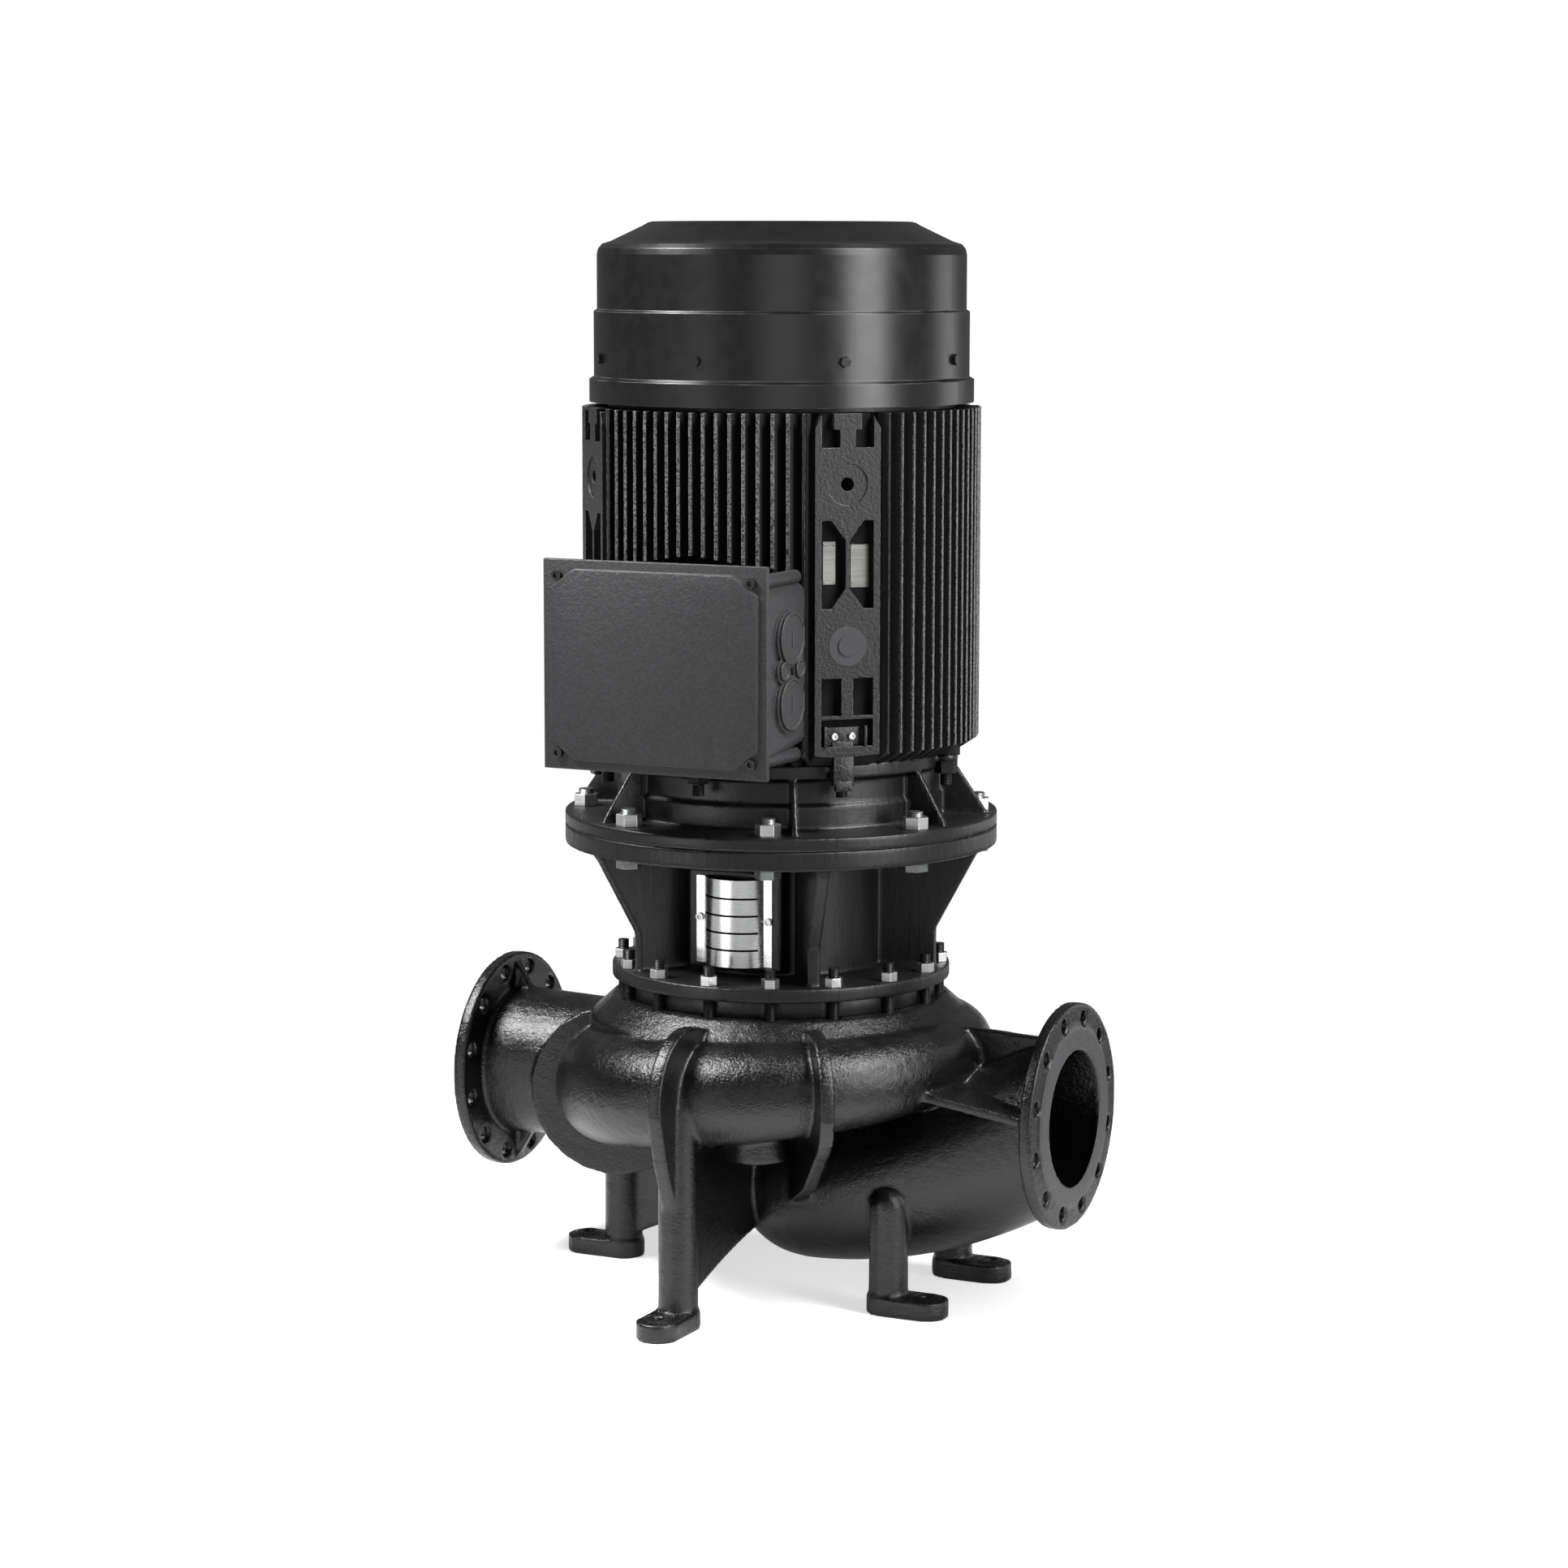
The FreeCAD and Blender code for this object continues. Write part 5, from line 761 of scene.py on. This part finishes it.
@dataclass
class Studio:
    """Camera, lamps, floor and background."""

    lens: float = 89.46
    place: Place = (2.607, -5.300, 1.581)
    turn: float = math.radians(26.149893)
    tilt: float = math.radians(7.815)
    roll: float = 0.0015
    floor_half: float = 14.0
    floor_colour: Colour = linear(232, 232, 232)
    floor_glow: float = 0.62
    glossy_near: float = 0.1
    glossy_far: float = 0.8
    glossy_reach: tuple[float, float] = (1.2, 4.5)
    shadow_reach: tuple[float, float] = (0.765, 1.7)
    front_dim: float = 0.05
    back_dim: float = 0.13
    dim_reach: tuple[float, float] = (-0.3, 0.9)

    def camera(self) -> None:
        """Sets the camera where the photograph was taken."""
        data = bpy.data.cameras.new("camera")
        data.lens = self.lens
        data.sensor_width = 36.0
        data.clip_end = 60.0
        camera = bpy.data.objects.new("camera", data)
        bpy.context.scene.collection.objects.link(camera)
        facing = (Matrix.Rotation(self.turn, 4, "Z") @ Matrix.Rotation(math.pi / 2 - self.tilt, 4, "X")
                  @ Matrix.Rotation(self.roll, 4, "Z"))
        camera.matrix_world = Matrix.Translation(self.place) @ facing
        bpy.context.scene.camera = camera

    def lamps(self) -> None:
        """Hangs the lamps: the boxes show as highlights in the paint, and the fills lift the fronts."""
        for box in LAMPS:
            box.hang()

    def floor(self) -> None:
        """A pale floor that keeps the pump's shadow near the feet and is plain white further out."""
        build = bmesh.new()
        corners = [build.verts.new((x * self.floor_half, y * self.floor_half, 0.0))
                   for x, y in ((-1, -1), (1, -1), (1, 1), (-1, 1))]
        build.faces.new(corners)
        mesh = bpy.data.meshes.new("floor")
        build.to_mesh(mesh)
        build.free()
        floor = linked("floor", mesh)
        material = bpy.data.materials.new("pale_floor")
        material.use_nodes = True
        write = Nodes(material.node_tree)
        surface = material.node_tree.nodes["Principled BSDF"]
        surface.inputs["Roughness"].default_value = 0.9
        surface.inputs["Specular IOR Level"].default_value = 0.0
        away = write.add("VectorMath", {"operation": "LENGTH"})
        write.feed(away.inputs[0], write.place())
        far = write.between(away.outputs["Value"], *self.shadow_reach)
        write.feed(surface.inputs["Base Color"], write.blend(far, self.floor_colour, (0.0, 0.0, 0.0, 1.0)))
        rays = write.add("LightPath")
        glow = write.maths("ADD", write.maths("MULTIPLY", far, 1 - self.floor_glow), self.floor_glow)
        seen = write.maths("MULTIPLY", rays.outputs["Is Camera Ray"], glow)
        gleam = write.between(away.outputs["Value"], *self.glossy_reach, self.glossy_near, self.glossy_far)
        glossy = write.maths("MULTIPLY", rays.outputs["Is Glossy Ray"], gleam)
        surface.inputs["Emission Color"].default_value = (1.0, 1.0, 1.0, 1.0)
        write.feed(surface.inputs["Emission Strength"], write.maths("ADD", seen, glossy))
        floor.data.materials.append(material)

    def background(self) -> None:
        """A white background for the camera, and a dim surrounding, brighter at the back, for the rest."""
        world = bpy.data.worlds.new("studio")
        world.use_nodes = True
        bpy.context.scene.world = world
        write = Nodes(world.node_tree)
        rays = write.add("LightPath")
        seen = write.maths("MAXIMUM", rays.outputs["Is Camera Ray"], rays.outputs["Is Transmission Ray"])
        depth = write.add("SeparateXYZ", Vector=write.add("TexCoord").outputs["Generated"]).outputs["Y"]
        dim = write.between(depth, *self.dim_reach, self.front_dim, self.back_dim)
        back = world.node_tree.nodes["Background"]
        back.inputs["Color"].default_value = (1.0, 1.0, 1.0, 1.0)
        share = write.maths("MULTIPLY", write.maths("SUBTRACT", 1.0, seen), dim)
        write.feed(back.inputs["Strength"], write.maths("ADD", share, seen))

    def build(self) -> None:
        """Builds the studio."""
        self.camera()
        self.lamps()
        self.floor()
        self.background()
        bpy.context.scene.view_settings.view_transform = "Standard"
        log.info("studio: camera, lamps, floor, background")


# Ways to finish a node


@dataclass
class CastSkin:
    """The skin of a casting: the CAD solid with its corners filled and rounded as cast."""

    node: str
    finish: Finish
    body: str = STATOR
    join: float = metres(0.02)
    cell: float = metres(3.2)
    ease: float = 0.5
    rounds: int = 5
    keep: float = 0.4
    quick_factor: float = 1.6

    def build(self) -> bpy.types.Object:
        """Makes the skin, which then stands for the CAD node.

        Returns:
            The new object.
        """
        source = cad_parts[self.node]
        work = linked(self.node + "_work", source.data.copy())
        weld = work.modifiers.new("weld", "WELD")
        weld.merge_threshold = self.join
        remesh = work.modifiers.new("cells", "REMESH")
        remesh.mode = "VOXEL"
        remesh.voxel_size = self.cell
        soften = work.modifiers.new("soften", "SMOOTH")
        soften.factor = self.ease
        soften.iterations = self.rounds
        thin = work.modifiers.new("thin", "DECIMATE")
        thin.ratio = self.keep
        skin = linked(self.node + "_skin", evaluated_copy(work, self.node + "_skin"))
        bpy.data.objects.remove(work)
        for polygon in skin.data.polygons:
            polygon.use_smooth = True
        dress(skin, self.finish)
        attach(skin, self.body)
        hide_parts(self.node)
        log.info("%s: skin with %d faces", self.node, len(skin.data.polygons))
        return skin


@dataclass
class EdgeBreak:
    """Small bevels on the edges of a CAD node, so that they catch the light."""

    node: str
    width: float = metres(1.0)
    segments: int = 2
    angle: float = 32.0
    join: float = metres(0.01)

    def build(self) -> None:
        """Adds the weld and the bevel to the CAD node."""
        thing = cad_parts[self.node]
        weld = thing.modifiers.new("weld", "WELD")
        weld.merge_threshold = self.join
        bevel = thing.modifiers.new("edge_break", "BEVEL")
        bevel.width = self.width
        bevel.segments = self.segments
        bevel.limit_method = "ANGLE"
        bevel.angle_limit = math.radians(self.angle)
        bevel.harden_normals = True
        bevel.use_clamp_overlap = True


def finished_mesh(name: str, build: bmesh.types.BMesh, angle: float = 35.0) -> bpy.types.Object:
    """Turns a bmesh into an object that is smooth but for its sharp corners.

    Args:
        name: the object's name.
        build: the bmesh, which is freed.
        angle: corners over this many degrees stay sharp.

    Returns:
        The object.
    """
    bmesh.ops.recalc_face_normals(build, faces=build.faces)
    for face in build.faces:
        face.smooth = True
    for edge in build.edges:
        edge.smooth = edge.calc_face_angle(0.0) < math.radians(angle)
    mesh = bpy.data.meshes.new(name)
    build.to_mesh(mesh)
    build.free()
    return linked(name, mesh)


def lathed(name: str, profile: Sequence[tuple[float, float]], spots: Sequence[tuple[Vector, Vector]],
           steps: int = 24) -> bpy.types.Object:
    """Copies of a turned piece in one object.

    Args:
        name: the object's name.
        profile: (radius, height) corners, from the axis at the foot to the axis at the top.
        spots: the foot and the direction of each copy.
        steps: corners in one turn.

    Returns:
        The object.
    """
    build = bmesh.new()
    for foot, direction in spots:
        turn = direction.to_track_quat("Z", "Y")
        rings = []
        for radius, height in profile:
            count = 1 if radius == 0 else steps
            ring = []
            for index in range(count):
                angle = 2 * math.pi * index / steps
                ring.append(build.verts.new(foot + turn @ Vector(
                    (radius * math.cos(angle), radius * math.sin(angle), height))))
            rings.append(ring)
        for low, high in zip(rings, rings[1:]):
            for index in range(steps):
                corners = [low[index % len(low)], low[(index + 1) % len(low)],
                           high[(index + 1) % len(high)], high[index % len(high)]]
                unique = list(dict.fromkeys(corners))
                if len(unique) > 2:
                    build.faces.new(unique)
    return finished_mesh(name, build)


@dataclass(frozen=True)
class Block:
    """A block on the +X side, by how far out, across and up it lies."""

    out: tuple[float, float]
    across: tuple[float, float]
    up: tuple[float, float]

    def corner(self, end: int) -> Vector:
        """Its lowest corner for 0 and its highest for 1."""
        return Vector((self.out[end], self.across[end], self.up[end]))


def slabs(name: str, blocks: Sequence[Block], azimuths: Sequence[float], soft: float) -> bpy.types.Object:
    """Blocks with rounded edges, drawn on the +X side and turned to azimuths.

    Args:
        name: the object's name.
        blocks: the blocks.
        azimuths: the azimuths in degrees, counted from -Y towards +X.
        soft: the radius of the edges.

    Returns:
        The object.
    """
    build = bmesh.new()
    for azimuth in azimuths:
        turn = Matrix.Rotation(math.radians(azimuth - 90), 4, "Z")
        for block in blocks:
            low, high = block.corner(0), block.corner(1)
            corners = bmesh.ops.create_cube(build, size=1.0)["verts"]
            stretch = Matrix.Diagonal((*(high - low), 1.0))
            place = turn @ Matrix.Translation((low + high) / 2) @ stretch
            bmesh.ops.transform(build, matrix=place, verts=corners)
    bmesh.ops.bevel(build, geom=build.edges[:], offset=soft, segments=3, profile=0.5, affect="EDGES")
    return finished_mesh(name, build)


def prism(name: str, outlines: Sequence[tuple[Sequence[tuple[float, float]], float, float]],
          soft: float) -> bpy.types.Object:
    """Slabs that face -Y, one in front of the other, with rounded front corners.

    Args:
        name: the object's name.
        outlines: for each slab its (x, z) corners, and the y it starts and ends at.
        soft: the radius of the edges.

    Returns:
        The object.
    """
    build = bmesh.new()
    for corners, back, front in outlines:
        rear = [build.verts.new((x, back, z)) for x, z in corners]
        fore = [build.verts.new((x, front, z)) for x, z in corners]
        build.faces.new(rear)
        build.faces.new(fore)
        for index in range(len(corners)):
            after = (index + 1) % len(corners)
            build.faces.new((rear[index], rear[after], fore[after], fore[index]))
    bmesh.ops.bevel(build, geom=build.edges[:], offset=soft, segments=3, profile=0.5, affect="EDGES")
    return finished_mesh(name, build)


# The pump's sub-assemblies


@dataclass
class SubAssembly:
    """CAD nodes that are finished together, with the skins, broken edges and small pieces that go on them."""

    body: str = STATOR

    def finishes(self) -> dict[str, Finish]:
        """Which finish each of its nodes has.

        Returns:
            The finish by node.
        """
        return {}

    def pieces(self) -> None:
        """Makes its skins, broken edges and small pieces; some sub-assemblies have none."""

    def add(self, thing: bpy.types.Object, finish: Finish, slot: str) -> None:
        """Finishes a new piece and lets it ride on the sub-assembly's body.

        Args:
            thing: the new object.
            finish: its finish.
            slot: the material slot it belongs to; not used.
        """
        dress(thing, finish)
        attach(thing, self.body)
        log.info("%s: added with %d faces", thing.name, len(thing.data.polygons))

    def build(self) -> None:
        """Dresses the nodes and makes the pieces."""
        for node, finish in self.finishes().items():
            dress(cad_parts[node], finish)
            log.info("%s: %s", node, finish.name)
        self.pieces()


@dataclass
class PumpHousing(SubAssembly):
    """Volute casing with its wear ring, drain plug and cover."""

    casing_cell: float = metres(3.4)
    plug_edge: float = metres(0.7)
    cover_edge: float = metres(1.0)

    def finishes(self) -> dict[str, Finish]:
        """Black castings, a bronze ring and a rubber gasket."""
        return {"pump_casing": CAST_BLACK, "casing_wear_ring": BRONZE, "drain_plug": BLACK_STEEL,
                "cover_gasket": RUBBER, "pump_cover": SHIELD_BLACK}

    def pieces(self) -> None:
        """The rounded skin of the casing, and the broken edges of the plug and the cover."""
        CastSkin("pump_casing", CAST_BLACK, cell=self.casing_cell).build()
        EdgeBreak("drain_plug", self.plug_edge).build()
        EdgeBreak("pump_cover", self.cover_edge).build()


@dataclass
class ShaftSeal(SubAssembly):
    """Mechanical seal: gland, seat, head and bellows."""

    def finishes(self) -> dict[str, Finish]:
        """Carbon faces in steel."""
        return {"seal_gland": SHAFT_STEEL, "gland_screws": ZINC, "seal_seat": CARBON, "seal_head": CARBON,
                "seal_spring": STAINLESS}


@dataclass
class PumpRotor(SubAssembly):
    """Impeller on the pump shaft."""

    def finishes(self) -> dict[str, Finish]:
        """Cast bronze and ground steel."""
        return {"impeller": BRONZE, "impeller_nut": STAINLESS, "impeller_washer": STAINLESS,
                "impeller_key": SHAFT_STEEL, "pump_shaft": SHAFT_STEEL}


@dataclass
class ClampCoupling(SubAssembly):
    """Split clamp coupling with its keys and screws."""

    half_edge: float = metres(0.7)

    def finishes(self) -> dict[str, Finish]:
        """Turned steel with black screws."""
        return {"coupling_half_front": SHAFT_STEEL, "coupling_half_back": SHAFT_STEEL,
                "coupling_screws": BLACK_STEEL, "coupling_keys": SHAFT_STEEL}

    def pieces(self) -> None:
        """Broken edges of both halves."""
        for node in ("coupling_half_front", "coupling_half_back"):
            EdgeBreak(node, self.half_edge).build()


@dataclass
class MotorStool(SubAssembly):
    """Stool with its guards, studs, bolts and nuts."""

    stool_cell: float = metres(2.8)
    bolt_edge: float = metres(0.8)

    def finishes(self) -> dict[str, Finish]:
        """A black casting with brushed guards and plated nuts.

        Returns:
            The finish by node.
        """
        return {"motor_stool": STOOL_BLACK, "front_coupling_guard": STAINLESS,
                "back_coupling_guard": STAINLESS, "guard_screws": ZINC, "head_studs": BLACK_THREAD,
                "head_nuts": ZINC, "flange_bolts": ZINC_THREAD, "flange_nuts": ZINC}

    def pieces(self) -> None:
        """The rounded skin of the stool, and the broken edges of its fasteners."""
        CastSkin("motor_stool", STOOL_BLACK, cell=self.stool_cell).build()
        for node in ("head_studs", "head_nuts", "flange_bolts", "flange_nuts", "guard_screws"):
            EdgeBreak(node, self.bolt_edge).build()


@dataclass
class MotorHousing(SubAssembly):
    """Finned frame with its end shields, plugs, plates and earth clamps."""

    shield_cell: float = metres(2.6)
    bolt_edge: float = metres(0.7)
    strip_face: float = metres(297)
    strip_recess: float = metres(14)
    plate_rise: float = metres(1.5)
    rivet: float = metres(1.7)
    rivet_rise: float = metres(0.9)
    rivet_sunk: float = metres(0.5)
    rivet_dome: tuple[tuple[float, float], ...] = ((1.0, 0.3), (0.7, 0.8), (0.0, 1.0))
    plate_azimuth: float = 45.0
    plate_columns: tuple[float, ...] = (metres(-31), metres(-17), metres(11.5), metres(34.5))
    plate_rows: tuple[float, ...] = (metres(1102.5), metres(1156.5))
    clamp_azimuths: tuple[float, ...] = (-45.0, 45.0)
    clamp_base: Block = Block(span(283, 288), span(-33, 28), span(864, 892))
    clamp_left_wall: Block = Block(span(283, 299), span(-36, -31), span(862, 894))
    clamp_right_wall: Block = Block(span(283, 299), span(26, 31), span(862, 894))
    clamp_neck: Block = Block(span(284, 292), span(-21, 12), span(846, 870))
    clamp_lug: Block = Block(span(286, 297), span(-20, 11), span(806, 850))
    clamp_tongue: Block = Block(span(288, 299), span(-17, 8), span(798, 812))
    clamp_soft: float = metres(0.9)
    clamp_level: float = metres(878)
    clamp_screws: tuple[float, ...] = (metres(-17), metres(10))
    clamp_screw: float = metres(5.5)
    clamp_seat: float = metres(288)
    head_rise: float = metres(4.2)
    socket_floor: float = metres(2.4)
    head_soft: float = metres(1)
    head_top: float = 0.8
    socket_mouth: float = 0.45
    socket_foot: float = 0.4

    def finishes(self) -> dict[str, Finish]:
        """Black castings with dull plates and black fasteners.

        Returns:
            The finish by node.
        """
        return {"drive_end_shield": SHIELD_BLACK, "endshield_bolts": BLACK_THREAD, "motor_frame": FRAME_BLACK,
                "fan_end_shield": SHIELD_BLACK, "fan_shield_screws": ZINC, "drive_bearing_cap": SHIELD_BLACK,
                "fan_bearing_cap": SHIELD_BLACK, "bearing_cap_screws": ZINC, "frame_plugs": BLACK_PLASTIC,
                "rating_plates": ALUMINIUM, "earth_clamps": BLACK_STEEL}

    def rivets(self) -> bpy.types.Object:
        """The rivets at the corners of the two plates.

        Returns:
            The object with all of them.
        """
        turn = Matrix.Rotation(math.radians(self.plate_azimuth - 90), 3, "Z")
        face = self.strip_face - self.strip_recess + self.plate_rise
        spots = [(turn @ Vector((face, column, row)), turn @ Vector((1, 0, 0)))
                 for column in self.plate_columns for row in self.plate_rows]
        dome = [(self.rivet * wide, self.rivet_rise * high) for wide, high in self.rivet_dome]
        return lathed("plate_rivets", [(self.rivet, -self.rivet_sunk)] + dome, spots, steps=14)

    def clamp_brackets(self) -> bpy.types.Object:
        """The pressed brackets of the earth clamps, with a lug that hangs down to the shield.

        Returns:
            The object with all of them.
        """
        blocks = (self.clamp_base, self.clamp_left_wall, self.clamp_right_wall, self.clamp_neck,
                  self.clamp_lug, self.clamp_tongue)
        return slabs("clamp_brackets", blocks, self.clamp_azimuths, self.clamp_soft)

    def clamp_heads(self) -> bpy.types.Object:
        """The round screw heads on the brackets.

        Returns:
            The object with all of them.
        """
        spots = []
        for azimuth in self.clamp_azimuths:
            turn = Matrix.Rotation(math.radians(azimuth - 90), 3, "Z")
            spots += [(turn @ Vector((self.clamp_seat, across, self.clamp_level)), turn @ Vector((1, 0, 0)))
                      for across in self.clamp_screws]
        wide = self.clamp_screw
        head = [(wide, 0.0), (wide, self.head_rise - self.head_soft), (wide * self.head_top, self.head_rise),
                (wide * self.socket_mouth, self.head_rise), (wide * self.socket_foot, self.socket_floor),
                (0.0, self.socket_floor)]
        return lathed("clamp_heads", head, spots)

    def pieces(self) -> None:
        """The rounded skin of the drive end shield, the rivets, the clamps and the broken edges."""
        brackets = self.clamp_brackets()
        self.add(brackets, CAST_BLACK, "black_steel")
        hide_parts("earth_clamps")
        self.add(self.clamp_heads(), ZINC, "black_steel")
        CastSkin("drive_end_shield", SHIELD_BLACK, cell=self.shield_cell, rounds=3).build()
        self.add(self.rivets(), ALUMINIUM, "aluminium")
        for node in ("endshield_bolts", "frame_plugs"):
            EdgeBreak(node, self.bolt_edge).build()


@dataclass
class MotorInside(SubAssembly):
    """Stator, rotor and bearings."""

    def finishes(self) -> dict[str, Finish]:
        """Sheets, copper, aluminium and ground steel.

        Returns:
            The finish by node.
        """
        given = {"stator_core": LAMINATION, "stator_windings": COPPER, "rotor_core": LAMINATION,
                 "rotor_end_rings": ALUMINIUM, "motor_shaft": SHAFT_STEEL}
        for bearing in ("drive_bearing", "fan_bearing"):
            for piece in ("outer_race", "inner_race", "balls"):
                given[f"{bearing}_{piece}"] = SHAFT_STEEL
        return given


@dataclass
class FanAndCowl(SubAssembly):
    """Cooling fan under its drawn cowl."""

    screw_edge: float = metres(0.9)

    def finishes(self) -> dict[str, Finish]:
        """Satin paint, black screws and a plastic fan."""
        return {"cooling_fan": BLACK_PLASTIC, "fan_cowl": SMOOTH_BLACK, "cowl_screws": BLACK_STEEL}

    def pieces(self) -> None:
        """Broken edges of the screws."""
        EdgeBreak("cowl_screws", self.screw_edge).build()


@dataclass
class TerminalBox(SubAssembly):
    """Terminal box with its lid, plugs and board."""

    box_edge: float = metres(2.5)
    screw_edge: float = metres(1.0)
    lid_half: float = metres(180.5)
    lid_low: float = metres(834)
    lid_high: float = metres(1139)
    lid_back: float = metres(-404)
    lid_front: float = metres(-413)
    panel_front: float = metres(-419)
    panel_inset: float = metres(14)
    panel_cut: tuple[float, float] = span(38, 27)
    panel_sunk: float = metres(2)
    lid_soft: float = metres(1.6)
    entry_face: float = metres(173)
    entry_radii: tuple[float, ...] = (metres(38), metres(14))
    disc_depth: float = metres(9)
    disc_rise: float = metres(2.4)
    rim_rise: float = metres(4)
    rim_width: float = metres(3)
    rim_soft: float = metres(1)
    bar_half: tuple[float, float] = span(1.6, 13)
    bar_rise: float = metres(3.6)
    bar_soft: float = metres(0.5)
    entry_spots: tuple[tuple[tuple[float, float], ...], ...] = (
        (span(-320, 935), span(-320, 1030)), (span(-344, 985), span(-294, 985)))

    def finishes(self) -> dict[str, Finish]:
        """A grey-black casting with black screws and plugs.

        Returns:
            The finish by node.
        """
        return {"terminal_box": BOX_BLACK, "terminal_box_gasket": RUBBER, "terminal_box_lid": BOX_BLACK,
                "lid_screws": BLACK_STEEL, "terminal_box_screws": ZINC, "terminal_board": BOARD_PLASTIC,
                "terminal_studs": BRONZE, "entry_plugs": BLACK_PLASTIC}

    def lid(self) -> bpy.types.Object:
        """The lid: a square-cornered plate with a raised panel whose corners are cut for the screws.

        Returns:
            The new object.
        """
        half, low, high = self.lid_half, self.lid_low, self.lid_high
        plate = [(-half, low), (half, low), (half, high), (-half, high)]
        half, low, high = half - self.panel_inset, low + self.panel_inset, high - self.panel_inset
        cut_x, cut_z = self.panel_cut
        panel = [(-half + cut_x, low), (half - cut_x, low), (half, low + cut_z), (half, high - cut_z),
                 (half - cut_x, high), (-half + cut_x, high), (-half, high - cut_z), (-half, low + cut_z)]
        layers = [(plate, self.lid_back, self.lid_front),
                  (panel, self.lid_front + self.panel_sunk, self.panel_front)]
        return prism("lid_plate", layers, self.lid_soft)

    def entry_discs(self, radius: float, spots: Sequence[tuple[float, float]]) -> bpy.types.Object:
        """Low round plugs of one size over the cable entries, each with a raised rim.

        Args:
            radius: the plug's radius.
            spots: the y and z of each.

        Returns:
            The object with all of them.
        """
        shank = radius - self.rim_width
        profile = [(0.0, -self.disc_depth), (shank, -self.disc_depth), (shank, 0.0), (radius, 0.0),
                   (radius, self.rim_rise - self.rim_soft), (radius - self.rim_soft, self.rim_rise),
                   (shank, self.rim_rise), (shank - self.rim_soft, self.disc_rise), (0.0, self.disc_rise)]
        places = [(Vector((self.entry_face, across, level)), Vector((1, 0, 0))) for across, level in spots]
        return lathed(f"entry_discs_{round(2 * radius / metres(1))}", profile, places, steps=48)

    def entry_slots(self) -> bpy.types.Object:
        """The bar across each large plug.

        Returns:
            The object with both.
        """
        wide, tall = self.bar_half
        bars = [Block((self.entry_face, self.entry_face + self.bar_rise), (across - wide, across + wide),
                      (level - tall, level + tall)) for across, level in self.entry_spots[0]]
        return slabs("entry_bars", bars, (90.0,), self.bar_soft)

    def pieces(self) -> None:
        """The lid, the plugs and the rounded corners of the box."""
        EdgeBreak("terminal_box", self.box_edge, segments=3).build()
        EdgeBreak("lid_screws", self.screw_edge).build()
        lid = self.lid()
        self.add(lid, BOX_BLACK, "smooth_black")
        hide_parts("terminal_box_lid")
        for radius, spots in zip(self.entry_radii, self.entry_spots):
            discs = self.entry_discs(radius, spots)
            self.add(discs, BOX_BLACK, "black_plastic")
            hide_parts("entry_plugs")
        self.add(self.entry_slots(), BLACK_PLASTIC, "black_plastic")


def main() -> None:
    """Builds the scene, piece by piece."""
    Studio().build()
    groups = (PumpHousing(), ShaftSeal(), PumpRotor(ROTOR), ClampCoupling(ROTOR), MotorStool(),
              MotorHousing(), MotorInside(), FanAndCowl(), TerminalBox())
    for group in groups:
        group.build()


if __name__ == "__main__":
    main()
